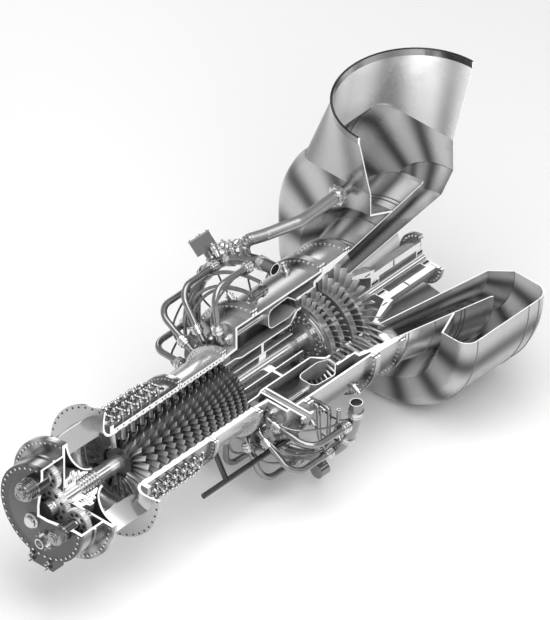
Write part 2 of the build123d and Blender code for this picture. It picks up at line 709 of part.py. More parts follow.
exhaust_strut_x = exhaust_entry_x + 130
strut_fill = whole(profile((exhaust_entry_x, 0), (exhaust_entry_x, exhaust_outer_r),
                           (outer_lip_x, outer_lip_r), (outer_lip_x, 0)))
cone_fill = whole(profile((exhaust_entry_x, 0), (exhaust_entry_x, inner_cone_front_r),
                          (inner_cone_rear_x, inner_cone_rear_r), (inner_cone_rear_x, 0)))
strut_section = aerofoil(exhaust_strut_x, land_r, 170, 16, 0)
exhaust_strut = extrude(make_face(strut_section), amount=600) & strut_fill
exhaust_strut -= cone_fill
keep("exhaust_struts", Compound([at_angle(exhaust_strut, angle).solids()[0] for angle in kept_angles(5)]))

# Collector: a drum with straight shoulders round the diffuser, opening upwards
collector_r = 1190
shoulder_z = 300
seam_z = 1100
front_round = 131
rear_round = 164
outlet_x = -103
outlet_r = 758
outlet_z = 1840
rim_height = 70


def collector_block(inset):
    """The collector as a solid block, every face moved inwards by the inset."""
    plane = Plane((collector_front_x + inset, 0, 0), x_dir=(0, 1, 0), z_dir=(1, 0, 0))
    radius = collector_r - inset
    outline = Circle(radius) + Pos(0, shoulder_z) * Circle(radius)
    outline += Pos(0, shoulder_z / 2) * Rectangle(2 * radius, shoulder_z)
    block = plane * extrude(outline, collector_rear_x - collector_front_x - 2 * inset)
    ends = block.faces().sort_by(Axis.X)
    block = fillet(ends[0].edges(), front_round - inset)
    return fillet(block.faces().sort_by(Axis.X)[-1].edges(), rear_round - inset)


above_seam = Pos(0, 0, seam_z + reach / 2) * Box(4 * reach, 2 * reach, reach)
shell = collector_block(0) - collector_block(sheet_t) - cut_quarter - above_seam
shell -= rod(collector_rear_x - 60, collector_rear_x + 60, rear_hole_r + fit_gap)
shell -= rod(collector_front_x - 60, collector_front_x + 60, front_hole_r)
keep("collector_shell", shell)

cone_r = outer_cone_r(front_cone_x) + sheet_t
keep("collector_front_cone", sectioned(profile(
    (collector_front_x, front_hole_r - fit_gap), (collector_front_x + sheet_t, front_hole_r - fit_gap),
    (front_cone_x + 12, cone_r + 12), (front_cone_x + 12, outer_cone_r(front_cone_x + 12) + sheet_t),
    (front_cone_x - 4, outer_cone_r(front_cone_x - 4) + sheet_t), (collector_front_x, front_hole_r - 16))))


def outlet_block(inset):
    """The outlet as a solid block from the seam to the rim."""
    half_width = sqrt(collector_r ** 2 - (seam_z - shoulder_z) ** 2) - inset
    length = collector_rear_x - collector_front_x - 2 * inset
    base = Pos((collector_rear_x + collector_front_x) / 2, 0, seam_z) * RectangleRounded(
        length, 2 * half_width, rear_round - inset)
    top = Pos(outlet_x, 0, outlet_z - rim_height) * Circle(outlet_r - inset)
    return loft([base, top])


keep("outlet_duct", outlet_block(0) - outlet_block(sheet_t) - cut_quarter)
rim = Pos(outlet_x, 0, outlet_z - rim_height) * extrude(
    Circle(outlet_r + 14) - Circle(outlet_r - sheet_t), rim_height)
keep("outlet_rim", rim - cut_quarter)

# Pipework: ring manifold, feed pipes, pilot ring, bleed duct, valves and drain
manifold_x = combustor_front_x + 270
manifold_r = 985
manifold_tube_r = 60
pipe_wall = 6


def ring_tube(x, ring_r, tube_r):
    """Section of a hollow ring pipe."""
    return Plane.XZ * (Pos(x, ring_r) * (Circle(tube_r) - Circle(tube_r - pipe_wall)))


keep("ring_manifold", sectioned(ring_tube(manifold_x, manifold_r, manifold_tube_r)))
manifold_fill = whole(Plane.XZ * (Pos(manifold_x, manifold_r) * Circle(manifold_tube_r + fit_gap)))
manifold_top = manifold_r + manifold_tube_r

feed_r = 30
feed_end_x = dome_x - injector_stub
elbow_x = feed_end_x - 52
feed_path = [(manifold_x - manifold_tube_r / 2, 0, manifold_r), (feed_end_x - 5, 0, manifold_r),
             (elbow_x, 0, injector_circle_r), (feed_end_x, 0, injector_circle_r)]
feed = pipe(feed_path, [170, 42], feed_r) - manifold_fill
keep("feed_pipes", Compound([at_angle(feed, angle).solids()[0] for angle in kept_angles(injector_count)]))

pilot_r = 18
pilot_ring_r = manifold_r - feed_r - pilot_r - journal_gap
keep("pilot_ring", sectioned(ring_tube(combustor_front_x + 90, pilot_ring_r, pilot_r)))

valve_angle = 47
valve_neck = 75
valve_size = (150, 150, 150)
valve = post(manifold_x, manifold_top - 20, manifold_top + valve_neck, 45) - manifold_fill
valve += Pos(manifold_x, 0, manifold_top + valve_neck + valve_size[2] / 2) * Box(*valve_size)
keep("bleed_valve", at_angle(valve, valve_angle).solids()[0])

round_valve_angle = 209
round_neck = 30
disc_r = 72
round_valve = post(manifold_x, manifold_top - 20, manifold_top + round_neck, 50) - manifold_fill
disc_width = 110
disc_place = Pos(manifold_x, 0, manifold_top + round_neck + disc_r - 15)
round_valve += disc_place * Rot(0, 90, 0) * Cylinder(disc_r, disc_width)
keep("round_valve", at_angle(round_valve, round_valve_angle).solids()[0])

duct_r = 48
duct_angle = 20
duct_y = manifold_top * sin(radians(duct_angle))
duct_z = manifold_top * cos(radians(duct_angle))
duct_end_y = 300
duct_end_z = 1008
duct_path = [(manifold_x, duct_y - 8, duct_z - 22), (manifold_x, duct_y + 40, duct_z + 110),
             (manifold_x + 260, duct_y, duct_z + 60), (manifold_x + 700, duct_end_y + 20, duct_end_z - 40),
             (collector_front_x - 150, duct_end_y, duct_end_z), (collector_front_x, duct_end_y, duct_end_z)]
duct = pipe(duct_path, [70, 160, 400, 200], duct_r) - manifold_fill
keep("bleed_duct", duct.solids().sort_by(SortBy.VOLUME)[-1])

drain_r = 26
drain_angle = 210
drain_height = 720
drain_start_x = compressor_end_x - 666
drain_branch_x = compressor_end_x - 360
drain_end_x = combustor_front_x + 120
drain = pipe([(drain_start_x, 0, drain_height), (drain_end_x, 0, drain_height),
              (drain_end_x, 0, case_r - 10)], [60], drain_r)
drain += post(drain_branch_x, case_out_r - 10, drain_height, drain_r)
drain -= rod(case_split_x, compressor_end_x, case_out_r)
drain -= rod(combustor_front_x, turbine_front_x, case_r)
keep("drain_pipe", at_angle(drain, drain_angle).solids()[0])
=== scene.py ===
import bpy
import numpy as np
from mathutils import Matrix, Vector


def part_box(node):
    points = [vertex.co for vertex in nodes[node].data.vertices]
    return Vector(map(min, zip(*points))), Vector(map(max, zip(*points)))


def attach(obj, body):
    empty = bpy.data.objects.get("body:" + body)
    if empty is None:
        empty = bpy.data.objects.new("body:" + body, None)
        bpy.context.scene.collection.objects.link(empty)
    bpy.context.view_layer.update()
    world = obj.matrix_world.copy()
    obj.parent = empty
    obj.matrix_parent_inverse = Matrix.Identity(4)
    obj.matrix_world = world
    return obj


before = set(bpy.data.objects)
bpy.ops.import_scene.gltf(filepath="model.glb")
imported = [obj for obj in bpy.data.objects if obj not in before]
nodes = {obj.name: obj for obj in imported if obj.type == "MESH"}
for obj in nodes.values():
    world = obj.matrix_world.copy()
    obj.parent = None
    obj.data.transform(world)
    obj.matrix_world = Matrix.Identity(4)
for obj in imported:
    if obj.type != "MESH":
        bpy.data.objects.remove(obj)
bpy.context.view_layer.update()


# Gearbox: a cast drum with a dished cover and a foot, bolted to the inlet flange.
# Cast iron, blasted and painted dark grey; the drum is ground, and all section faces are painted white.
# Set screws hold the cover, nuts sit on the foot studs, and an oil port and a cap stand on the cover.
def node_group(name, inputs, outputs):
    """An empty shader node group with the named sockets; gives the tree, its inputs and its outputs."""
    tree = bpy.data.node_groups.new(name, "ShaderNodeTree")
    for side, sockets in (("INPUT", inputs), ("OUTPUT", outputs)):
        for label, kind in sockets:
            tree.interface.new_socket(label, in_out=side, socket_type="NodeSocket" + kind)
    return tree, tree.nodes.new("NodeGroupInput").outputs, tree.nodes.new("NodeGroupOutput").inputs


def calc(tree, operation, *values):
    """One math node; numbers are set on its sockets and other values are linked."""
    node = tree.nodes.new("ShaderNodeMath")
    node.operation = operation
    for socket, value in zip(node.inputs, values):
        if isinstance(value, (int, float)):
            socket.default_value = value
        else:
            tree.links.new(value, socket)
    return node.outputs[0]


def fade(tree, start, end, share):
    """Start plus share times the way from start to end."""
    return calc(tree, "MULTIPLY_ADD", calc(tree, "SUBTRACT", end, start), share, start)


def noise(tree, vector, scale, detail):
    """A noise texture on the given vector."""
    node = tree.nodes.new("ShaderNodeTexNoise")
    node.inputs["Scale"].default_value = scale
    node.inputs["Detail"].default_value = detail
    tree.links.new(vector, node.inputs["Vector"])
    return node.outputs["Fac"]


def own_place(tree):
    """The shaded point's own coordinates, whole and apart."""
    place = tree.nodes.new("ShaderNodeTexCoord").outputs["Object"]
    axes = tree.nodes.new("ShaderNodeSeparateXYZ")
    tree.links.new(place, axes.inputs[0])
    return place, [axes.outputs[label] for label in "XYZ"]


tree, given, result = node_group(
    "worked_metal",
    [("Shade", "Float"), ("Rough", "Float"), ("Grain", "Float"), ("Stretch", "Vector"), ("Section", "Float"),
     ("Metal", "Float"), ("Shaft Reflection Bands", "Float"), ("Shaft Band Count", "Float"), ("Outlet Reflection Bands", "Float")],
    [("Color", "Color"), ("Roughness", "Float"), ("Metallic", "Float"), ("Height", "Float")])
place, (along_x, along_y, along_z) = own_place(tree)
near = 0.0007
upright = calc(tree, "MULTIPLY", calc(tree, "LESS_THAN", calc(tree, "ABSOLUTE", along_y), near),
               calc(tree, "GREATER_THAN", along_z, -near))
level = calc(tree, "MULTIPLY", calc(tree, "LESS_THAN", calc(tree, "ABSOLUTE", along_z), near),
             calc(tree, "LESS_THAN", along_y, near))
cut = calc(tree, "MULTIPLY", calc(tree, "MAXIMUM", upright, level), given["Section"])
uncut = calc(tree, "SUBTRACT", 1.0, cut)
stretch = tree.nodes.new("ShaderNodeMapping")
tree.links.new(place, stretch.inputs["Vector"])
tree.links.new(given["Stretch"], stretch.inputs["Scale"])
grain = noise(tree, stretch.outputs["Vector"], 1.0, 3.0)
cloud = noise(tree, place, 3.0, 2.0)
wear = calc(tree, "MULTIPLY_ADD", calc(tree, "SUBTRACT", grain, 0.5), given["Grain"],
            calc(tree, "MULTIPLY_ADD", cloud, 0.2, 0.9))
tone = calc(tree, "MULTIPLY", given["Shade"], wear)
# Painted reflection: the bands below darken and lighten the colour in turns round the shaft and round the
# outlet, brightest at a turn of 0.14 radians. They stand in for reflections on polished curved metal.
outlet_x, brightest, outlet_band_count = -0.103, 0.14, 8.0
from_outlet = calc(tree, "SUBTRACT", along_x, outlet_x)
for depth, across, ahead, count in (("Shaft Reflection Bands", along_y, along_z, given["Shaft Band Count"]),
                                    ("Outlet Reflection Bands", from_outlet, along_y, outlet_band_count)):
    turn = calc(tree, "ABSOLUTE", calc(tree, "ARCTAN2", across, ahead))
    wave = calc(tree, "COSINE", calc(tree, "MULTIPLY", calc(tree, "SUBTRACT", turn, brightest), count))
    band = calc(tree, "POWER", calc(tree, "MULTIPLY_ADD", wave, -0.499, 0.5), 1.5)
    light = calc(tree, "SUBTRACT", 1.0, calc(tree, "MULTIPLY", band, given[depth]))
    tone = calc(tree, "MULTIPLY", tone, light)
paint, paint_rough = 0.93, 0.6
tone = fade(tree, tone, paint, cut)
colour = tree.nodes.new("ShaderNodeCombineColor")
for socket in colour.inputs:
    tree.links.new(tone, socket)
tree.links.new(colour.outputs[0], result["Color"])
rough = calc(tree, "MULTIPLY", given["Rough"], calc(tree, "MULTIPLY_ADD", cloud, 0.8, 0.6))
tree.links.new(fade(tree, rough, paint_rough, cut), result["Roughness"])
tree.links.new(calc(tree, "MULTIPLY", uncut, given["Metal"]), result["Metallic"])
tree.links.new(calc(tree, "MULTIPLY", grain, uncut), result["Height"])


def metal(name, shade, rough, grain, stretch, relief=0.00003, section=1.0, share=0.9,
          shaft_band_depth=0.0, shaft_band_count=8.57, wrapped=0.0):
    """A worked metal. Shade is a number, or the name of a group that grades it and the group's levels.
    Stretch gives the marks in a metre each way and relief their depth; section is 1 where cut faces are
    white; share is how metallic it is; the last three arguments set how dark the painted reflection bands
    are round the shaft, their count in a turn of the shaft, and how dark they are round the outlet."""
    look = bpy.data.materials.new(name)
    look.use_nodes = True
    tree = look.node_tree
    skin = tree.nodes["Principled BSDF"]
    work = tree.nodes.new("ShaderNodeGroup")
    work.node_tree = bpy.data.node_groups["worked_metal"]
    for label, value in (("Rough", rough), ("Grain", grain), ("Stretch", stretch), ("Section", section),
                         ("Metal", share), ("Shaft Reflection Bands", shaft_band_depth), ("Shaft Band Count", shaft_band_count), ("Outlet Reflection Bands", wrapped)):
        work.inputs[label].default_value = value
    if isinstance(shade, tuple):
        group, levels = shade
        grade = tree.nodes.new("ShaderNodeGroup")
        grade.node_tree = bpy.data.node_groups[group]
        for label, value in levels.items():
            grade.inputs[label].default_value = value
        for socket in grade.outputs:
            tree.links.new(socket, work.inputs[socket.name])
    else:
        work.inputs["Shade"].default_value = shade
    bump = tree.nodes.new("ShaderNodeBump")
    bump.inputs["Distance"].default_value = relief
    tree.links.new(work.outputs["Height"], bump.inputs["Height"])
    tree.links.new(bump.outputs["Normal"], skin.inputs["Normal"])
    tree.links.new(work.outputs["Color"], skin.inputs["Base Color"])
    tree.links.new(work.outputs["Roughness"], skin.inputs["Roughness"])
    if section:
        tree.links.new(work.outputs["Metallic"], skin.inputs["Metallic"])
    else:
        skin.inputs["Metallic"].default_value = share
    return look


def dress(look, *names):
    """Give CAD nodes their material."""
    for name in names:
        nodes[name].data.materials.clear()
        nodes[name].data.materials.append(look)


def show(name, shape, look, body, crease=35):
    """A new piece from a shape's points and face arrays; edges sharper than crease degrees stay sharp."""
    points, faces = shape
    mesh = bpy.data.meshes.new(name)
    mesh.from_pydata(points.tolist(), [], [row for block in faces for row in block.tolist()])
    mesh.shade_smooth()
    mesh.set_sharp_from_angle(angle=np.radians(crease))
    mesh.materials.append(look)
    piece = bpy.data.objects.new(name, mesh)
    bpy.context.scene.collection.objects.link(piece)
    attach(piece, body)


def rings_closed(rings, sides):
    """Faces of a skin over a row of rings of points: walls between the rings and a cap at each end."""
    ring = np.arange(sides)
    step = np.roll(ring, -1)
    base = sides * np.arange(rings - 1)[:, None]
    walls = np.stack([base + ring, base + step, base + step + sides, base + ring + sides], 2).reshape(-1, 4)
    return [walls, np.stack([ring[::-1], ring + sides * (rings - 1)])]


def turned(outline, sides):
    """A shape turned about Z: point = (r cos t, r sin t, h) for every (r, h) of the outline and every t."""
    t = 2 * np.pi * np.arange(sides) / sides
    r, h = np.array(outline, float).T
    points = np.stack([np.outer(r, np.cos(t)), np.outer(r, np.sin(t)), np.outer(h, np.ones(sides))], 2)
    return points.reshape(-1, 3), rings_closed(len(r), sides)


def stand(centres, axes, across=(1.0, 0.0, 0.0)):
    """Frames at the centres, with Z along the axis or axes and X as near to across as that allows."""
    centres = np.atleast_2d(np.array(centres, float))
    z = np.broadcast_to(np.array(axes, float), centres.shape)
    z = z / np.linalg.norm(z, axis=1, keepdims=True)
    x = np.array(across) - z * (z @ np.array(across))[:, None]
    x /= np.linalg.norm(x, axis=1, keepdims=True)
    return np.stack([x, np.cross(z, x), z, centres], 2)


def repeat(shape, frames):
    """Copies of a shape: each point becomes frame turn times point plus frame centre."""
    points, faces = shape
    placed = np.einsum("kij,nj->kni", frames[:, :, :3], points) + frames[:, None, :, 3]
    shift = len(points) * np.arange(len(frames))[:, None, None]
    return placed.reshape(-1, 3), [(block[None] + shift).reshape(-1, block.shape[1]) for block in faces]


def join(*shapes):
    """Several shapes as one."""
    points, faces, count = [], [], 0
    for shape_points, shape_faces in shapes:
        points.append(shape_points)
        faces += [block + count for block in shape_faces]
        count += len(shape_points)
    return np.concatenate(points), faces


def around(x, radius, degrees):
    """Points (x, r sin a, r cos a) on a circle about the shaft, and their outward directions."""
    a = np.radians(np.atleast_1d(np.asarray(degrees, float)))
    out = np.stack([np.zeros_like(a), np.sin(a), np.cos(a)], 1)
    return out * radius + np.array([x, 0.0, 0.0]), out


def hex_head(size):
    """A hexagon bolt head with a bevelled top; size is half its width over the corners."""
    return turned([(size, 0.0), (size, 0.62 * size), (0.85 * size, 0.75 * size)], 6)


sideways, slanted = (0.0, 1.0, 0.0), (0.0, 0.6, 0.8)


def bolt_ring(x, facing, radius, degrees, size):
    """Hexagon heads on a face square to the shaft, facing +1 or -1 along X."""
    centres, _ = around(x, radius, degrees)
    return repeat(hex_head(size), stand(centres, (facing, 0.0, 0.0), slanted))


def forward(outline, sides, x, y, z):
    """A turned shape standing on a face that looks along -X."""
    return repeat(turned(outline, sides), stand((x, y, z), (-1.0, 0.0, 0.0), sideways))


def box(low, high):
    """A plain box between two corners."""
    points = np.array([(x, y, z) for x in (low[0], high[0]) for y in (low[1], high[1])
                       for z in (low[2], high[2])], float)
    faces = np.array([(0, 1, 3, 2), (4, 6, 7, 5), (0, 4, 5, 1), (2, 3, 7, 6), (0, 2, 6, 4), (1, 5, 7, 3)])
    return points, [faces]


cast = metal("cast_iron", 0.10, 0.26, 0.2, (90, 90, 90), relief=0.0003)
machined = metal("machined_steel", 0.55, 0.22, 0.15, (160, 3, 3), share=0.75)
bright = metal("bright_steel", 0.62, 0.16, 0.1, (160, 12, 12), section=0.0)
# The ground drum's bands round the shaft are painted reflections.
ground = metal("ground_drum", 0.36, 0.22, 0.15, (120, 4, 4), share=0.75, shaft_band_depth=0.6, shaft_band_count=14.0)
dress(cast, "gearbox_cover")
dress(ground, "gearbox_case")
dress(bright, "cover_studs")

case_low, case_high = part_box("gearbox_case")
cover_rim, rear_flange, screw_size = 0.03, 0.032, 0.013
cover_face = case_low.x - cover_rim
cover_screw_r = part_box("gearbox_cover")[1].y - 0.032
flange_screw_r = case_high.y - 0.035
screws = join(
    bolt_ring(cover_face, -1, cover_screw_r, np.arange(6, 270, 9), screw_size),
    bolt_ring(case_high.x - rear_flange, -1, flange_screw_r, np.arange(3, 270, 6), screw_size))
show("gearbox_screws", screws, bright, "casing")

stud_low, stud_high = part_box("cover_studs")
stud_r, stud_end = 0.009, 0.022
stud_y = stud_high.y - stud_r
stud_places = [(stud_high.x - stud_end, y, z) for y in (-stud_y, stud_y)
               for z in (stud_low.z + stud_r, stud_high.z - stud_r)]
nut = turned([(0.019, 0.0), (0.019, 0.016), (0.016, 0.020)], 6)
stud_nuts = repeat(nut, stand(stud_places, (1.0, 0.0, 0.0), sideways))
show("foot_stud_nuts", stud_nuts, bright, "casing")

port_x, port_y, port_z = cover_face - 0.02, -0.08, -0.235
plate_half, plate_wide, bolt_out = 0.02, 0.068, 0.052
port_front = port_x - plate_half
port_neck = [(0.046, 0.0), (0.046, 0.055), (0.052, 0.055), (0.052, 0.075), (0.040, 0.075), (0.036, 0.03)]
port_corners = [(port_y + dy, port_z + dz) for dy in (-bolt_out, bolt_out) for dz in (-bolt_out, bolt_out)]
oil_port = join(
    box((port_front, port_y - plate_wide, port_z - plate_wide),
        (port_x + plate_half, port_y + plate_wide, port_z + plate_wide)),
    forward(port_neck, 28, port_front, port_y, port_z),
    *[forward([(0.006, 0.0), (0.006, 0.055)], 8, port_front, y, z) for y, z in port_corners],
    *[forward([(0.012, 0.0), (0.012, 0.012)], 6, port_front, y, z) for y, z in port_corners])
show("oil_port", oil_port, bright, "casing")

cap_x, cap_y, cap_z = cover_face - 0.05, 0.06, -0.075
cap_screw_x, cap_screw_r = cover_face - 0.062, 0.067
cap_steps = [(0.075, -0.02), (0.075, 0.012), (0.060, 0.020), (0.060, 0.045), (0.048, 0.056), (0.020, 0.058)]
cap_screws = [forward([(0.007, 0.0), (0.007, 0.006)], 6, cap_screw_x, cap_y + cap_screw_r * np.cos(t),
                      cap_z + cap_screw_r * np.sin(t)) for t in np.arange(8) * np.pi / 4]
centre_cap = join(forward(cap_steps, 36, cap_x, cap_y, cap_z), *cap_screws)
show("cover_centre_cap", centre_cap, bright, "casing")


# Accessory drives: the rotor's bull gear with a starter gear and a pump gear, and starter and pump outside.
# Case-hardened gears with ground teeth; the accessories are aluminium castings with bright screws.
# Each accessory stands on a pad of the cover and is driven through it.
def middle_of(node):
    """The middle of a node's box."""
    low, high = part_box(node)
    return (low + high) / 2


def screw_circle(node, radius, count, size, x):
    """Hexagon heads in a circle round the middle of a node, on a face that looks forwards."""
    t = 2 * np.pi * (np.arange(count) + 0.5) / count
    hub = middle_of(node)
    centres = np.stack([np.full(count, x), hub.y + radius * np.cos(t), hub.z + radius * np.sin(t)], 1)
    return repeat(hex_head(size), stand(centres, (-1.0, 0.0, 0.0), slanted))


def gear_dress(node, hub_r, hole_circle, hole_r, count):
    """A bright hub ring and, for the lightening holes, dark plugs painted as the shade inside them, on the
    front face of a gear.
    """
    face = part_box("bull_gear")[0].x
    _, y, z = middle_of(node)
    hub = forward([(hub_r, -0.002), (hub_r, 0.014), (0.8 * hub_r, 0.018)], 36, face, y, z)
    holes = [forward([(hole_r, -0.004), (hole_r, 0.0012)], 18, face, y + hole_circle * np.cos(t),
                     z + hole_circle * np.sin(t)) for t in 2 * np.pi * np.arange(count) / count]
    return hub, join(*holes)


# Dark bores are painted shade: dark plugs stand where drilled holes would be in shade. The same dark also
# marks joints, pads and seals on the section faces.
dark = metal("bore_shade_and_joint_marks", 0.025, 0.6, 0.2, (60, 60, 60), relief=0.0003, section=0.0, share=0.3)
gear_steel = metal("gear_steel", 0.82, 0.24, 0.2, (20, 80, 80), relief=0.00005, section=0.0, share=0.65)
alloy = metal("cast_alloy", 0.32, 0.24, 0.2, (120, 120, 120), relief=0.0003, section=0.0)
dress(gear_steel, "bull_gear", "starter_gear", "pump_gear")
dress(alloy, "starter", "lube_pump")

starter_low, starter_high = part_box("starter")
pump_low, pump_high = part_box("lube_pump")
drive_screws = join(
    screw_circle("starter", 0.093, 12, 0.0075, starter_high.x - 0.02),
    screw_circle("starter", 0.064, 10, 0.0065, starter_high.x - 0.13),
    screw_circle("lube_pump", 0.069, 8, 0.0075, pump_high.x - 0.02),
    screw_circle("lube_pump", 0.048, 6, 0.006, pump_high.x - 0.11))
show("drive_screws", drive_screws, bright, "casing")

starter_yz, pump_yz = middle_of("starter")[1:], middle_of("lube_pump")[1:]
rib = [(0.083, 0.0), (0.096, 0.002), (0.096, 0.009), (0.083, 0.011)]
first_rib, rib_pitch = starter_high.x - 0.034, 0.02
starter_ribs = [forward(rib, 32, first_rib - rib_pitch * k, *starter_yz) for k in range(4)]
starter_cap = forward([(0.040, -0.002), (0.040, 0.006), (0.030, 0.010), (0.030, -0.002)], 28,
                      starter_low.x + 0.004, *starter_yz)
pump_ring = forward([(0.066, 0.0), (0.066, 0.010), (0.052, 0.012), (0.052, 0.022), (0.040, 0.022)], 32,
                    pump_low.x + 0.030, *pump_yz)
show("drive_ribs", join(*starter_ribs, starter_cap, pump_ring), alloy, "casing")

gear_bodies = {"bull_gear": ("gas_generator_rotor", 0.098, 0.128, 0.019, 10),
               "starter_gear": ("starter_drive", 0.052, 0.083, 0.018, 8),
               "pump_gear": ("pump_drive", 0.052, 0.083, 0.018, 8)}
for node, (body, *sizes) in gear_bodies.items():
    hub, holes = gear_dress(node, *sizes)
    show(node + "_hub", hub, bright, body)
    show(node + "_holes", holes, dark, body)

# Air inlet: a trumpet-shaped front wall and a rolled bellmouth, held apart by broad hollow struts.
# Spun and ground steel sheet with drilled rims.
# The holes are dark plugs, each a short blind bore painted as the shade inside a hole.
spun = metal("spun_sheet", 0.47, 0.22, 0.08, (120, 3, 3))
dress(spun, "inlet_front_wall", "inlet_rear_wall", "inlet_struts")
bell_low, bell_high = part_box("inlet_rear_wall")
rim_front, rim_hole_r = bell_low.x + 0.0165, bell_high.y - 0.022
rim_bore = turned([(0.010, -0.006), (0.010, 0.0012)], 10)
rim_places, _ = around(rim_front, rim_hole_r, np.arange(5, 270, 8))
bell_holes = repeat(rim_bore, stand(rim_places, (-1.0, 0.0, 0.0), (0.0, 0.0, 1.0)))
show("bellmouth_holes", bell_holes, dark, "casing")


# Front bearing: a housing and a stepped block on the gearbox wall, with the grooved seal sleeve in them.
# Cast steel with a ground bore; the sleeve is hardened and polished.
# Pads, seals and oilways show as dark marks on the section faces, and set screws hold the block.
def lathe(outline, first, last, steps):
    """A section (x, r), listed anticlockwise, swept round the shaft: (x, r sin a, r cos a), ends closed."""
    a = np.radians(np.linspace(first, last, steps))[:, None]
    x, r = np.array(outline, float).T
    points = np.stack([x + 0 * a, r * np.sin(a), r * np.cos(a)], 2)
    count = len(x)
    edge = np.arange(count)
    after = np.roll(edge, -1)
    base = count * np.arange(steps - 1)[:, None]
    walls = np.stack([base + edge, base + count + edge, base + count + after, base + after], 2).reshape(-1, 4)
    ends = np.stack([edge, (edge + count * (steps - 1))[::-1]])
    return points.reshape(-1, 3), [walls, ends]


def cut_marks(spans):
    """Thin inlays on both section faces: each span gives its ends along the shaft and its two radii."""
    proud, sunk = 0.0012, 0.0004
    marks = []
    for x0, x1, r0, r1 in spans:
        marks.append(box((x0, -proud, r0), (x1, sunk, r1)))
        marks.append(box((x0, -r1, -sunk), (x1, -r0, proud)))
    return join(*marks)


dress(machined, "front_bearing_housing")
dress(bright, "seal_sleeve")
block_x = case_high.x + 0.028
block_steps = [(0.0, 0.118), (0.109, 0.118), (0.116, 0.106), (0.270, 0.106), (0.270, 0.122), (0.200, 0.165),
               (0.172, 0.165), (0.158, 0.205), (0.104, 0.205), (0.088, 0.245), (0.040, 0.245), (0.024, 0.205),
               (0.0, 0.205)]
block = lathe([(block_x + x, r) for x, r in block_steps], 0.0, 270.0, 91)
show("front_bearing_block", block, machined, "casing")
block_screws = bolt_ring(block_x + 0.158, 1, 0.186, np.arange(10, 270, 22.5), 0.010)
show("front_bearing_screws", block_screws, bright, "casing")
block_marks = [(0.010, 0.030, 0.124, 0.150), (0.040, 0.060, 0.124, 0.150), (0.012, 0.058, 0.160, 0.166),
               (0.072, 0.078, 0.122, 0.200), (0.052, 0.060, 0.200, 0.238), (0.092, 0.150, 0.150, 0.156),
               (0.120, 0.126, 0.108, 0.140), (0.150, 0.156, 0.108, 0.140), (0.180, 0.186, 0.108, 0.128),
               (0.206, 0.212, 0.108, 0.128), (0.232, 0.238, 0.108, 0.120), (0.130, 0.136, 0.172, 0.204),
               (-0.060, 0.0, 0.092, 0.098), (-0.040, -0.030, 0.078, 0.112)]
marks = cut_marks([(block_x + x0, block_x + x1, r0, r1) for x0, x1, r0, r1 in block_marks])
show("front_bearing_marks", marks, dark, "casing")

# Compressor case: two half-length barrels split along the shaft, with flanges at their ends.
# Turned cast steel; the split line shows as a white band with the bores of its bolts, dark plugs painted as
# the shade inside them.
# Hexagon bolts and nuts sit on both sides of every ring flange, and dark lines mark the joints.
dress(machined, "compressor_case_rear")
case_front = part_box("compressor_case_front")[0].x
case_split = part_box("compressor_case_front")[1].x
case_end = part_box("compressor_case_rear")[1].x
flange_r, flange_half = 0.43, 0.024
flange_degrees = np.arange(3, 270, 6)
case_bolts = join(*[bolt_ring(x + flange_half * facing, facing, flange_r, flange_degrees, 0.011)
                    for x, facing in ((case_front, 1), (case_split, -1), (case_split, 1), (case_end, -1),
                                      (case_end, 1))])
show("compressor_bolts", case_bolts, bright, "casing")

split_r, wide_pitch, close_pitch = 0.377, 0.085, 0.042
split_x = np.concatenate([np.arange(case_front + 0.07, case_front + 0.62, wide_pitch),
                          np.arange(case_front + 0.66, case_end - 0.04, close_pitch)])
split_places = np.stack([split_x, np.zeros_like(split_x), np.full_like(split_x, split_r)], 1)
split_bore = turned([(0.0085, -0.004), (0.0085, 0.0012)], 10)
split_holes = repeat(split_bore, stand(split_places, (0.0, -1.0, 0.0)))
show("split_line_bores", split_holes, dark, "casing")

seam_half, stud_half = 0.0024, 0.036
case_joints = [(x - seam_half, x + seam_half, 0.352, 0.4545) for x in (case_split, case_end)]
case_joints += [(x - stud_half, x + stud_half, 0.424, 0.435) for x in (case_split, case_end)]
show("compressor_joint_lines", cut_marks(case_joints), dark, "casing")


# Variable vane gear: spindles through the case, each with a lever, and a unison ring round every row.
# Forged levers and rings; a domed nut holds every lever on its spindle.
# Short clevis pins join the levers to the rings.
def stood_out(shape, x, radius, degrees):
    """Copies of a shape standing outwards from the shaft at the given angles."""
    centres, out = around(x, radius, degrees)
    return repeat(shape, stand(centres, out))


forged = metal("forged_steel", 0.30, 0.20, 0.15, (60, 60, 60), relief=0.0001)
dress(forged, "unison_rings", "compressor_case_front")
stage_count, stages_long, first_pitch = 14, 1.377, 0.126
stage_start = case_front + 0.095
pitches = np.linspace(first_pitch, 2 * stages_long / stage_count - first_pitch, stage_count)
stage_x = stage_start + np.concatenate([[0.0], np.cumsum(pitches)])
variable_stages, vane_share = 5, 0.71
spindle_x = np.concatenate([[stage_start - 0.0475],
                            stage_x[:variable_stages] + vane_share * pitches[:variable_stages]])
spindle_count = 22
spindle_degrees = (np.arange(spindle_count) + 0.5) * 270 / spindle_count
lever_r, ring_r, lever_long = 0.4578, 0.4718, 0.039
cap_nut = turned([(0.021, 0.0), (0.021, 0.010), (0.015, 0.012), (0.015, 0.024), (0.010, 0.031),
                  (0.004, 0.033)], 10)
clevis = turned([(0.011, 0.0), (0.011, 0.008), (0.006, 0.012)], 8)
vane_nuts = join(*[stood_out(cap_nut, x, lever_r, spindle_degrees) for x in spindle_x],
                 *[stood_out(clevis, x + lever_long, ring_r, spindle_degrees) for x in spindle_x])
show("vane_spindle_nuts", vane_nuts, bright, "casing")


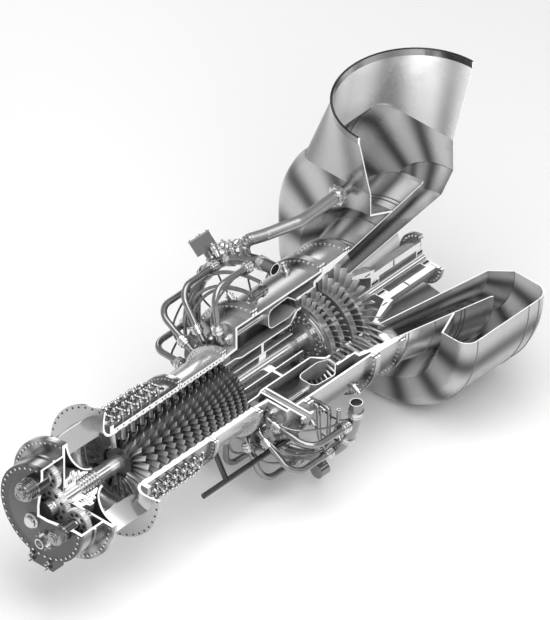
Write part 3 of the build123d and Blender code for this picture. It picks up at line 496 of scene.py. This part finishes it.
# Compressor rotor and vanes: a drum of welded discs with fourteen rows of blades between rows of fixed vanes.
# Stainless steel, milled and polished along the span; the blades carry painted shade, dark at the roots
# between them and brightening to the tips.
# The blades sit in the drum and the vanes hang from bands in the case.
def clamped(tree, value):
    """The value held between 0 and 1."""
    return calc(tree, "MINIMUM", calc(tree, "MAXIMUM", value, 0.0), 1.0)


def reach(tree, y, z):
    """Distance from the shaft: the root of y squared plus z squared."""
    return calc(tree, "SQRT", calc(tree, "ADD", calc(tree, "MULTIPLY", y, y), calc(tree, "MULTIPLY", z, z)))


# Painted shade: the blades' colour darkens from the tips down to near black at the hub, where shade falls
# between them.
tree, given, result = node_group("blade_painted_root_shade", [("Root", "Float"), ("Tip", "Float")], [("Shade", "Float")])
_, (along_x, along_y, along_z) = own_place(tree)
front_hub_r, hub_rise, blade_r = 0.150, 0.135, 0.35
run = clamped(tree, calc(tree, "MULTIPLY_ADD", along_x, 1 / stages_long, -stage_start / stages_long))
hub_r = calc(tree, "MULTIPLY_ADD", calc(tree, "POWER", run, 0.75), hub_rise, front_hub_r)
height = calc(tree, "DIVIDE", calc(tree, "SUBTRACT", reach(tree, along_y, along_z), hub_r),
              calc(tree, "SUBTRACT", blade_r, hub_r))
height = calc(tree, "POWER", clamped(tree, height), 1.3)
tree.links.new(fade(tree, given["Root"], given["Tip"], height), result["Shade"])
blade_steel = metal("blade_steel", ("blade_painted_root_shade", {"Root": 0.04, "Tip": 0.95}), 0.28, 0.1, (60, 60, 60),
                    section=0.0, share=0.7)
vane_steel = metal("vane_steel", 0.55, 0.28, 0.1, (60, 60, 60))
dress(blade_steel, "compressor_rotor_front", "compressor_rotor_middle", "compressor_rotor_rear")
dress(vane_steel, "stator_vanes_front", "stator_vanes_rear")

# Diffuser and combustor cases: rolled and welded barrels with thick ring flanges.
# Ground stainless sheet between turned flanges; the section leaves their walls as white bands.
# Rows of hexagon bolts close the flanges, and bosses for the igniters stand on the combustor case.
# The barrels' bands round the shaft are painted reflections.
barrel = metal("rolled_barrel", 0.50, 0.22, 0.08, (120, 3, 3), share=0.70, shaft_band_depth=0.80)
dress(barrel, "diffuser_case", "combustor_case")
dress(machined, "diffuser_struts", "inner_case", "service_strut")
hot_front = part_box("combustor_case")[0].x
hot_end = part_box("combustor_case")[1].x
exhaust_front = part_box("diffuser_outer_wall")[0].x
main_degrees = np.arange(2.5, 270, 5)
main_half, main_bolt_r = 0.032, 0.660
main_bolts = join(
    *[bolt_ring(x + main_half * facing, facing, main_bolt_r, main_degrees, screw_size)
      for x, facing in ((hot_front, -1), (hot_front, 1), (hot_end, -1), (hot_end, 1), (exhaust_front, -1))],
    bolt_ring(exhaust_front + 0.018, 1, 0.662, main_degrees, screw_size))
show("main_flange_bolts", main_bolts, bright, "casing")

boss = turned([(0.050, -0.02), (0.050, 0.012), (0.034, 0.016), (0.034, 0.045), (0.040, 0.047), (0.040, 0.062),
               (0.024, 0.066), (0.024, 0.085), (0.010, 0.088)], 20)
boss_degrees = np.array([18.0, 45.0, 72.0, 99.0, 126.0, 153.0, 180.0, 207.0, 231.0, 252.0])
boss_x, boss_r = hot_front + 0.19, 0.627
bosses = join(stood_out(boss, boss_x, boss_r, boss_degrees),
              stood_out(boss, hot_end - 0.17, boss_r, boss_degrees[::2] + 9.0))
show("case_bosses", bosses, bright, "casing")

main_stud_half = 0.046
main_joints = [(x - seam_half, x + seam_half, 0.604, 0.6895) for x in (hot_front, hot_end, exhaust_front)]
main_joints += [(x - main_stud_half, x + main_stud_half, 0.653, 0.667) for x in (hot_front, hot_end)]
main_joints += [(exhaust_front - main_stud_half, exhaust_front + 0.032, 0.655, 0.669)]
show("main_joint_lines", cut_marks(main_joints), dark, "casing")


# Combustor liner and injectors: an annular flame tube of thin sheet with ten fuel injectors through its dome.
# Heat-stained nickel alloy; the injectors are turned bright.
# Six screws hold every injector to the diffuser case.
def ring_of_rings(shape, x, circle_r, degrees, small_r, count):
    """A circle of small shapes facing forwards round each of the points of a large circle about the shaft."""
    centres, _ = around(x, circle_r, degrees)
    t = 2 * np.pi * (np.arange(count) + 0.5) / count
    ring = np.stack([np.zeros(count), small_r * np.cos(t), small_r * np.sin(t)], 1)
    places = (centres[:, None] + ring[None]).reshape(-1, 3)
    return repeat(shape, stand(places, (-1.0, 0.0, 0.0), sideways))


stained = metal("stained_alloy", 0.62, 0.34, 0.5, (9, 9, 9), relief=0.0004, share=0.7)
dress(stained, "combustor_liner")
dress(bright, "fuel_injectors")
dome_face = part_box("fuel_injectors")[0].x + 0.016
injector_count, injector_r, injector_screw_r = 10, 0.455, 0.049
injector_degrees = (np.arange(injector_count) + 0.5) * 270 / injector_count
injector_screw = turned([(0.0075, 0.0), (0.0075, 0.007)], 6)
injector_screws = ring_of_rings(injector_screw, dome_face, injector_r, injector_degrees, injector_screw_r, 6)
show("injector_screws", injector_screws, bright, "casing")

# Shafts and bearings: the hollow gas-generator shaft, the power-turbine shaft and the centre housing.
# Forged steel, ground all over; the housing is turned.
# The shafts run in plain bearings.
shaft_steel = metal("shaft_steel", 0.85, 0.18, 0.1, (160, 4, 4), section=0.0)
dress(shaft_steel, "gas_generator_shaft", "output_shaft")
dress(machined, "centre_bearing_housing")

# Turbine: two gas-generator wheels and two power wheels between rows of nozzles, in a flared case.
# Nickel alloy, cast and ground; painted shade keeps the discs darker than the blades, which brighten from
# their roots to their tips.
# The wheels sit on their shafts, the nozzles hang in the case, and the first wheel carries bolted rings.
# Painted shade: the colour is dark over the discs and lightens along the blades from root to tip.
tree, given, result = node_group("wheel_painted_root_shade", [("Disc", "Float"), ("Tip", "Float")], [("Shade", "Float")])
_, (_, along_y, along_z) = own_place(tree)
wheel_rim_r, blade_height = 0.366, 0.16
height = calc(tree, "SUBTRACT", reach(tree, along_y, along_z), wheel_rim_r)
height = calc(tree, "POWER", clamped(tree, calc(tree, "DIVIDE", height, blade_height)), 0.7)
tree.links.new(fade(tree, given["Disc"], given["Tip"], height), result["Shade"])
wheel_steel = metal("wheel_steel", ("wheel_painted_root_shade", {"Disc": 0.36, "Tip": 0.95}), 0.24, 0.15, (100, 10, 10),
                    relief=0.00004, section=0.0, share=0.7)
dress(wheel_steel, "gas_generator_wheel_1", "gas_generator_wheel_2", "power_wheel_1", "power_wheel_2")
dress(vane_steel, "gas_generator_nozzles", "power_turbine_nozzles")
dress(barrel, "turbine_case")
wheel_x, web_half = exhaust_front - 0.5795, 0.013
web_front = wheel_x - web_half
web_rings = [(0.300, -0.002), (0.300, 0.016), (0.292, 0.022), (0.284, 0.016), (0.284, 0.004), (0.262, 0.004),
             (0.262, 0.018), (0.255, 0.023), (0.248, 0.018), (0.248, -0.002)]
wheel_rings = join(forward(web_rings, 72, web_front, 0.0, 0.0),
                   bolt_ring(web_front, -1, 0.205, np.arange(24) * 15.0, 0.014),
                   bolt_ring(web_front, -1, 0.160, np.arange(16) * 22.5, 0.010))
show("wheel_front_rings", wheel_rings, bright, "gas_generator_rotor")


# Exhaust diffuser and rear bearing: two cones of sheet with hollow struts, and the bearing barrel inside.
# Rolled stainless sheet, welded in bands; the barrel is cast and turned, with dark pads on its section.
# The output-end flange at the rear is the face the engine is held by.
def tube(path, radius, sides=10):
    """A round tube: point = path + r (u cos t + v sin t), u and v square to the path."""
    ahead = np.gradient(path, axis=0)
    ahead /= np.linalg.norm(ahead, axis=1, keepdims=True)
    guide = np.eye(3)[np.abs(ahead).max(0).argmin()]
    u = np.cross(ahead, guide)
    u /= np.linalg.norm(u, axis=1, keepdims=True)
    v = np.cross(ahead, u)
    t = 2 * np.pi * np.arange(sides) / sides
    points = path[:, None] + radius * (u[:, None] * np.cos(t)[:, None] + v[:, None] * np.sin(t)[:, None])
    return points.reshape(-1, 3), rings_closed(len(path), sides)


def arc(x, radius, first, last, count):
    """A path round the shaft: (x, r sin a, r cos a) for a from first to last."""
    return around(x, radius, np.linspace(first, last, count))[0]


# The diffuser sheet's bands round the shaft are painted reflections.
sheet = metal("rolled_sheet", 0.75, 0.20, 0.06, (90, 3, 3), share=0.75, shaft_band_depth=0.7, shaft_band_count=17.14)
dress(sheet, "diffuser_inner_wall", "diffuser_outer_wall", "exhaust_struts")
dress(machined, "rear_bearing_housing")
bead = metal("weld_bead", 0.22, 0.3, 0.4, (80, 80, 80), relief=0.0003, section=0.0)
bead_r = 0.005
cone_front_x, cone_long, cone_front_r, cone_end_r = -1.008, 0.986, 0.615, 0.833
seam_x = np.array([-0.935, -0.905, -0.62, -0.34, -0.30])
seam_r = cone_front_r + (cone_end_r - cone_front_r) * (seam_x - cone_front_x) / cone_long
cone_seams = [tube(arc(x, r, 0.5, 269.5, 120), bead_r, 8)
              for x, inner_r in zip(seam_x, seam_r) for r in (inner_r + 0.0105, inner_r - 0.0005)]
show("diffuser_seams", join(*cone_seams), bead, "casing")

web_rear = exhaust_front + 0.33
pads = [(web_rear - 0.012, web_rear + 0.082, 0.060, 0.088), (-0.082, -0.010, 0.060, 0.088)]
seal_x = (web_rear + 0.010, web_rear + 0.030, web_rear + 0.050, -0.070, -0.050, -0.030)
pads += [(x - 0.002, x + 0.002, 0.092, 0.112) for x in seal_x]
pads += [(web_rear - 0.10, web_rear - 0.03, 0.205, 0.217), (-0.036, 0.0, 0.222, 0.232),
         (-0.40, -0.385, 0.122, 0.188), (-0.034, -0.030, 0.125, 0.188)]
show("rear_bearing_pads", cut_marks(pads), dark, "casing")
rear_degrees = np.arange(6, 270, 12)
rear_bolts = join(bolt_ring(-0.032, -1, 0.228, rear_degrees, screw_size),
                  bolt_ring(web_rear + 0.026, 1, 0.212, rear_degrees, 0.011))
show("rear_bearing_bolts", rear_bolts, bright, "casing")

# Exhaust collector: a rounded drum with straight shoulders that opens upwards into a round outlet.
# Stainless sheet, rolled and welded, matt inside and polished outside, with a doubled rim; the colour inside
# is painted lighter, painted light against the shade in the drum, and painted reflection bands run round the
# drum and the outlet.
# The outlet duct stands on the seam of the drum.
tree, given, result = node_group("shell_sides", [("Outside", "Float"), ("Inside", "Float")],
                                 [("Shade", "Float"), ("Metal", "Float")])
spot = tree.nodes.new("ShaderNodeTexCoord")
from_middle = tree.nodes.new("ShaderNodeVectorMath")
from_middle.operation = "SUBTRACT"
from_middle.inputs[1].default_value = (-0.15, 0.0, 0.45)
tree.links.new(spot.outputs["Object"], from_middle.inputs[0])
outward = tree.nodes.new("ShaderNodeVectorMath")
outward.operation = "DOT_PRODUCT"
tree.links.new(spot.outputs["Normal"], outward.inputs[0])
tree.links.new(from_middle.outputs["Vector"], outward.inputs[1])
# Painted light: inside faces get a lighter colour to lift the shade in the drum's hollow; their lower
# metallic share is the matt finish.
inside = calc(tree, "LESS_THAN", outward.outputs["Value"], 0.0)
tree.links.new(fade(tree, given["Outside"], given["Inside"], inside), result["Shade"])
polished, matt = 0.85, 0.40
tree.links.new(calc(tree, "MULTIPLY_ADD", inside, matt - polished, polished), result["Metal"])
# The bands round the shaft on the drum and round the outlet on the duct and rim are painted reflections.
wrapped = metal("wrapped_sheet", ("shell_sides", {"Outside": 0.50, "Inside": 0.95}), 0.27, 0.06, (3, 60, 3),
                shaft_band_depth=0.84, shaft_band_count=13.0)
flared = metal("flared_sheet", ("shell_sides", {"Outside": 0.46, "Inside": 0.97}), 0.27, 0.06, (3, 60, 3),
               wrapped=0.55)
rim_steel = metal("rolled_rim", 0.34, 0.14, 0.1, (3, 60, 3), wrapped=0.5)
dress(wrapped, "collector_shell", "collector_front_cone")
dress(flared, "outlet_duct")
dress(rim_steel, "outlet_rim")
shell_low, shell_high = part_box("collector_shell")
shell_r = shell_high.y
seam_z = shell_high.z
shoulder_z = 0.3


def drum_line(radius, x):
    """The drum's outline at one place: round the bottom, straight up past the shoulder, round to the seam."""
    under = np.radians(np.linspace(270.0, 90.0, 90))
    lean = np.radians(np.linspace(90.0, np.degrees(np.arccos((seam_z - shoulder_z) / radius)), 24))
    y = np.concatenate([radius * np.sin(under), radius * np.sin(lean)])
    z = np.concatenate([radius * np.cos(under), shoulder_z + radius * np.cos(lean)])
    return np.stack([np.full_like(y, x), y, z], 1)


drum_seams = [tube(drum_line(r, x), bead_r, 8)
              for x in (shell_low.x + 0.131, shell_high.x - 0.164, shell_high.x - 0.30)
              for r in (shell_r + 0.001, shell_r - 0.011)]
show("collector_seams", join(*drum_seams), bead, "casing")


# Fuel pipes: a ring manifold with feeds to the injectors, a pilot ring with thin lines, and igniter leads.
# Drawn stainless tube, polished; the leads are blackened.
# Clamped couplings join the feeds to the manifold and to the injectors, and clamps sit round the manifold.
def rounded(corners, passes=4):
    """A smooth path through corner points: every pass cuts each corner off at a quarter of its two sides."""
    path = np.array(corners, float)
    for _ in range(passes):
        cuts = np.stack([0.75 * path[:-1] + 0.25 * path[1:], 0.25 * path[:-1] + 0.75 * path[1:]], 1)
        path = np.concatenate([path[:1], cuts.reshape(-1, 3)[1:-1], path[-1:]])
    return path


def swung(points, degrees):
    """Points given as (x, sideways, outward) at the top, swung round the shaft towards +Y."""
    a = np.radians(degrees)
    x, across, out = np.array(points, float).T
    return np.stack([x, out * np.sin(a) + across * np.cos(a), out * np.cos(a) - across * np.sin(a)], 1)


drawn = metal("drawn_tube", 0.26, 0.16, 0.08, (40, 40, 40))
blackened = metal("blackened_tube", 0.10, 0.20, 0.2, (40, 40, 40), section=0.0)
dress(drawn, "ring_manifold", "feed_pipes", "pilot_ring", "round_valve", "bleed_duct")
dress(blackened, "drain_pipe")
manifold_pipe_r, pilot_pipe_r = 0.06, 0.018
manifold_x = middle_of("ring_manifold").x
manifold_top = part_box("ring_manifold")[1].y
manifold_r = manifold_top - manifold_pipe_r
dome_x = dome_face + 0.024
elbow_x = dome_x - 0.092
coupling = turned([(0.031, -0.046), (0.044, -0.044), (0.044, -0.030), (0.058, -0.027), (0.058, -0.006),
                   (0.050, -0.003), (0.050, 0.003), (0.058, 0.006), (0.058, 0.027), (0.044, 0.030),
                   (0.044, 0.044), (0.031, 0.046)], 22)
feed_starts, _ = around(manifold_x - 0.115, manifold_r, injector_degrees)
couplings = join(repeat(coupling, stand(feed_starts, (1.0, 0.0, 0.0), slanted)),
                 stood_out(coupling, elbow_x + 0.006, 0.60, injector_degrees))
show("feed_couplings", couplings, bright, "casing")

clamp = turned([(0.0605, -0.03), (0.072, -0.03), (0.072, -0.018), (0.066, -0.016), (0.066, 0.016),
                (0.072, 0.018), (0.072, 0.03), (0.0605, 0.03)], 24)
clamp_degrees = np.array([9.0, 33.0, 60.0, 108.0, 135.0, 162.0, 189.0, 216.0, 243.0, 263.0])
clamp_places, clamp_out = around(manifold_x, manifold_r, clamp_degrees)
clamp_ahead = np.cross((1.0, 0.0, 0.0), clamp_out)
show("manifold_clamps", repeat(clamp, stand(clamp_places, clamp_ahead)), bright, "casing")

pilot_x = middle_of("pilot_ring").x
pilot_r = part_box("pilot_ring")[1].y - pilot_pipe_r
pilot_way = rounded([(pilot_x, 0.05, pilot_r), (pilot_x - 0.10, 0.05, pilot_r - 0.01),
                     (dome_x - 0.02, 0.062, 0.80), (dome_x - 0.10, 0.060, 0.66),
                     (dome_x - 0.09, 0.045, injector_r + 0.04), (dome_x - 0.02, 0.03, injector_r + 0.03)])
pilot_lines = [tube(swung(pilot_way, degrees), 0.010) for degrees in injector_degrees]
show("pilot_lines", join(*pilot_lines), drawn, "casing")

lead_way = rounded([(boss_x, 0.0, 0.70), (boss_x, 0.0, 0.80), (hot_front + 0.23, 0.03, 0.90),
                    (manifold_x - 0.01, 0.06, manifold_r - 0.055)])
leads = [tube(swung(lead_way, degrees), 0.009) for degrees in boss_degrees]
show("igniter_leads", join(*leads), blackened, "casing")


# Bleed duct: a stiff metal duct in a woven braid, from the manifold's top to the front of the collector.
# Corrugated stainless tube under a braid of fine wire.
# A flange with four lugs joins it to the collector.
def bent(corners, radii, spacing):
    """A path of straight runs joined by round bends, resampled at equal steps. Each bend is an arc of its
    radius that touches both runs: centre + R (u cos t + v sin t)."""
    corners = np.array(corners, float)
    parts = [corners[:1]]
    for corner, before, after, radius in zip(corners[1:-1], corners[:-2], corners[2:], radii):
        back_way = (before - corner) / np.linalg.norm(before - corner)
        on_way = (after - corner) / np.linalg.norm(after - corner)
        bend = np.pi - np.arccos(back_way @ on_way)
        inward = (back_way + on_way) / np.linalg.norm(back_way + on_way)
        hub = corner + inward * radius / np.cos(bend / 2)
        start = corner + back_way * radius * np.tan(bend / 2) - hub
        t = np.linspace(0.0, bend, 12)[:, None]
        parts.append(hub + start * np.cos(t) - back_way * radius * np.sin(t))
    path = np.concatenate(parts + [corners[-1:]])
    run = np.concatenate([[0.0], np.cumsum(np.linalg.norm(np.diff(path, axis=0), axis=1))])
    at = np.linspace(0.0, run[-1], int(run[-1] / spacing))
    return np.stack([np.interp(at, run, path[:, k]) for k in range(3)], 1)


woven = metal("woven_braid", 0.32, 0.20, 0.3, (200, 200, 200), relief=0.0004, section=0.0, share=0.85)
duct_a = np.radians(20.0)
duct_y, duct_z = manifold_top * np.sin(duct_a), manifold_top * np.cos(duct_a)
joint_y, joint_z = 0.30, 1.008
collector_front = shell_low.x
duct_way = bent([(manifold_x, duct_y - 0.008, duct_z - 0.022), (manifold_x, duct_y + 0.04, duct_z + 0.11),
                 (manifold_x + 0.26, duct_y, duct_z + 0.06), (manifold_x + 0.70, 0.32, 0.968),
                 (collector_front - 0.15, joint_y, joint_z), (collector_front, joint_y, joint_z)],
                [0.07, 0.16, 0.40, 0.20], 0.0055)
bare_start, bare_end = 14, 22
braid_way = duct_way[bare_start:-bare_end]
braid_r, rib_depth, steps_a_rib = 0.053, 0.0055, 4
ripple = braid_r + rib_depth * np.cos(2 * np.pi * np.arange(len(braid_way)) / steps_a_rib)
show("bleed_duct_braid", tube(braid_way, ripple[:, None, None], 22), woven, "casing", 60)

joint_x, lug_circle = collector_front - 0.105, 0.086
flange = turned([(0.049, -0.05), (0.062, -0.05), (0.062, -0.022), (0.088, -0.020), (0.088, -0.003),
                 (0.078, 0.0), (0.088, 0.003), (0.088, 0.020), (0.062, 0.022), (0.062, 0.05),
                 (0.049, 0.05)], 30)
lug = turned([(0.013, -0.032), (0.013, -0.022), (0.008, -0.021), (0.008, 0.021), (0.013, 0.022),
              (0.013, 0.032)], 8)
lug_places = [(joint_x, joint_y + lug_circle * np.cos(t), joint_z + lug_circle * np.sin(t))
              for t in (np.arange(4) + 0.5) * np.pi / 2]
duct_flange = join(repeat(flange, stand((joint_x, joint_y, joint_z), (1.0, 0.0, 0.0), sideways)),
                   repeat(lug, stand(lug_places, (1.0, 0.0, 0.0), sideways)))
show("bleed_duct_flange", duct_flange, bright, "casing")

# Valves and small pipes: a boxed valve and small valves on the manifold, a pipe stub, fuel rings and vents.
# Painted and bright castings, turned fittings and drawn tube.
# The valves are screwed to the manifold; the box has a lid with four screws.
painted = metal("painted_box", 0.16, 0.30, 0.2, (60, 60, 60), relief=0.0002, section=0.0, share=0.6)
dress(painted, "bleed_valve")
lid_half, lid_thick, lid_screw_out = 0.079, 0.014, 0.064
lid_screw = turned([(0.009, 0.014), (0.009, 0.022)], 6)
lid_screws = [repeat(lid_screw, stand((x, y, 0.0), (0.0, 0.0, 1.0)))
              for x in (-lid_screw_out, lid_screw_out) for y in (-lid_screw_out, lid_screw_out)]
lid = join(box((-lid_half, -lid_half, 0.0), (lid_half, lid_half, lid_thick)), *lid_screws)
valve_degrees, neck_long, box_high = 47.0, 0.075, 0.146
box_top = manifold_top + neck_long + box_high
valve_neck = turned([(0.045, -0.02), (0.045, 0.0), (0.060, 0.002), (0.060, 0.02), (0.045, 0.022),
                     (0.045, 0.078)], 24)
valve_lids = join(stood_out(lid, manifold_x, box_top, valve_degrees),
                  stood_out(valve_neck, manifold_x, manifold_top, valve_degrees))
show("valve_box_lid", valve_lids, alloy, "casing")

small_valve = turned([(0.024, -0.01), (0.024, 0.035), (0.040, 0.037), (0.040, 0.050), (0.027, 0.052),
                      (0.034, 0.075), (0.034, 0.100), (0.022, 0.112), (0.012, 0.114), (0.012, 0.135)], 20)
top_valves = [stood_out(small_valve, manifold_x + dx, manifold_top - 0.004, degrees)
              for dx, degrees in ((-0.01, 28.0), (0.012, 34.5), (-0.012, 40.5))]
side_valves = [repeat(small_valve, stand(place, axis, slanted))
               for place, axis in (((manifold_x + 0.055, 0.59, 0.88), (1.0, 0.1, 0.2)),
                                   ((manifold_x - 0.04, 0.53, 0.98), (-0.8, 0.2, 0.6)))]
show("manifold_small_valves", join(*top_valves, *side_valves), bright, "casing")

stub_r, stub_wall, stub_collar = 0.044, 0.008, 0.012
stub = turned([(0.02, -0.012), (stub_r, 0.0), (stub_r, 0.098), (stub_r + stub_collar, 0.10),
               (stub_r + stub_collar, 0.122), (stub_r, 0.125), (stub_r, 0.16), (stub_r - stub_wall, 0.16),
               (stub_r - stub_wall, 0.02)], 24)
sample_stub = repeat(stub, stand((-2.21, 0.05, 0.785), (1.0, 0.0, 0.0), sideways))
show("sample_stub", sample_stub, drawn, "casing")

fuel_ring_r = 0.015
starting_rings = [tube(arc(x, r, 4.0, 96.0, 60), fuel_ring_r, 12)
                  for x, r in ((-2.205, 0.80), (-2.245, 0.845))]
show("starting_fuel_rings", join(*starting_rings), drawn, "casing")

vent_r = 0.021
vent_ways = [[(-2.20, -0.59, -0.05), (-2.20, -0.72, -0.04), (-2.20, -0.74, -0.10), (-2.20, -0.74, -0.42),
              (-2.151, -0.777, -0.524)],
             [(-2.14, -0.60, -0.07), (-2.14, -0.80, -0.06), (-2.14, -0.82, -0.12), (-2.14, -0.80, -0.36),
              (-2.151, -0.84, -0.42)]]
vents = join(*[tube(rounded(way), vent_r, 14) for way in vent_ways])
show("vent_tubes", vents, drawn, "casing")

# Studio: a pale floor, a sky with bright and dark strips that run along the engine, and three soft lamps.
# The strips give the polished metal its light and dark bands; ahead of the engine a pale veil covers them.
# The camera looks down at the front from far off with a long lens.
floor_size, floor_z, floor_tone = 60.0, -1.20, 0.94
floor_mesh = bpy.data.meshes.new("floor")
corners = [(-floor_size, -floor_size, floor_z), (floor_size, -floor_size, floor_z),
           (floor_size, floor_size, floor_z), (-floor_size, floor_size, floor_z)]
floor_mesh.from_pydata(corners, [], [(0, 1, 2, 3)])
floor_look = bpy.data.materials.new("pale_floor")
floor_look.use_nodes = True
floor_skin = floor_look.node_tree.nodes["Principled BSDF"]
floor_skin.inputs["Base Color"].default_value = (floor_tone, floor_tone, floor_tone, 1.0)
floor_skin.inputs["Roughness"].default_value = 1.0
floor_skin.inputs["Specular IOR Level"].default_value = 0.0
floor_mesh.materials.append(floor_look)
floor = bpy.data.objects.new("floor", floor_mesh)
bpy.context.scene.collection.objects.link(floor)

world = bpy.data.worlds.new("studio")
bpy.context.scene.world = world
world.use_nodes = True
tree = world.node_tree
sky = tree.nodes["Background"]
direction = tree.nodes.new("ShaderNodeSeparateXYZ")
tree.links.new(tree.nodes.new("ShaderNodeTexCoord").outputs["Generated"], direction.inputs[0])
sweep = calc(tree, "ARCTAN2", direction.outputs["Y"], direction.outputs["Z"])
bands = tree.nodes.new("ShaderNodeValToRGB")
tree.links.new(calc(tree, "MULTIPLY_ADD", sweep, 0.5 / np.pi, 0.5), bands.inputs[0])
strips = [(-180, 0.5), (-100, 0.05), (-78, 0.03), (-66, 0.20), (-60, 1.3), (-44, 1.3), (-38, 0.25),
          (-22, 0.08), (-10, 0.9), (8, 1.1), (15, 0.20), (28, 0.08), (54, 0.08), (60, 0.8), (70, 0.9),
          (76, 0.10), (92, 0.02), (180, 0.5)]
while len(bands.color_ramp.elements) < len(strips):
    bands.color_ramp.elements.new(0.5)
for element, (degrees, value) in zip(bands.color_ramp.elements, strips):
    element.position = (degrees + 180) / 360
    element.color = (value, value, value, 1.0)
behind = tree.nodes.new("ShaderNodeMapRange")
behind.interpolation_type = "SMOOTHSTEP"
behind.inputs["From Min"].default_value = 0.12
behind.inputs["From Max"].default_value = 0.42
tree.links.new(direction.outputs["X"], behind.inputs["Value"])
veil_tone = 0.6
veil = tree.nodes.new("ShaderNodeMix")
veil.data_type = "RGBA"
veil.inputs["A"].default_value = (veil_tone, veil_tone, veil_tone, 1.0)
tree.links.new(behind.outputs["Result"], veil.inputs["Factor"])
tree.links.new(bands.outputs["Color"], veil.inputs["B"])
tree.links.new(veil.outputs["Result"], sky.inputs["Color"])
sky.inputs["Strength"].default_value = 1.0
bpy.context.scene.view_settings.view_transform = "Standard"


def add_item(name, data, place, look):
    """Link a lamp or camera that stands at a place and looks along a direction."""
    item = bpy.data.objects.new(name, data)
    item.location = place
    item.rotation_mode = "QUATERNION"
    item.rotation_quaternion = Vector(look).to_track_quat("-Z", "Y")
    bpy.context.scene.collection.objects.link(item)
    return item


engine_middle = np.array([-2.4, 0.0, 0.0])
for name, offset, size, power in (("overhead_lamp", np.array([-1.6, -1.8, 9.0]), 9.5, 800.0),
                                  ("rear_lamp", 11.0 * np.array([0.48, 0.80, 0.36]), 3.5, 90.0),
                                  ("front_lamp", 11.0 * np.array([-0.40, -0.70, 0.60]), 7.0, 430.0)):
    light = bpy.data.lights.new(name, "AREA")
    light.size = size
    light.energy = power
    add_item(name, light, engine_middle + offset, -offset)

azimuth, elevation = np.radians(-47.47), np.radians(38.0)
back = np.array([np.sin(azimuth) * np.cos(elevation), -np.cos(azimuth) * np.cos(elevation),
                 np.sin(elevation)])
right = np.array([np.cos(azimuth), np.sin(azimuth), 0.0])
up = np.cross(back, right)
frame_height = 5.58
frame_middle = -1.3329 * right - 0.4797 * up
camera_data = bpy.data.cameras.new("camera")
camera_data.lens = 1500.0
camera_data.clip_end = 1000.0
camera_place = frame_middle + back * frame_height * camera_data.lens / camera_data.sensor_width
bpy.context.scene.camera = add_item("camera", camera_data, camera_place, -back)
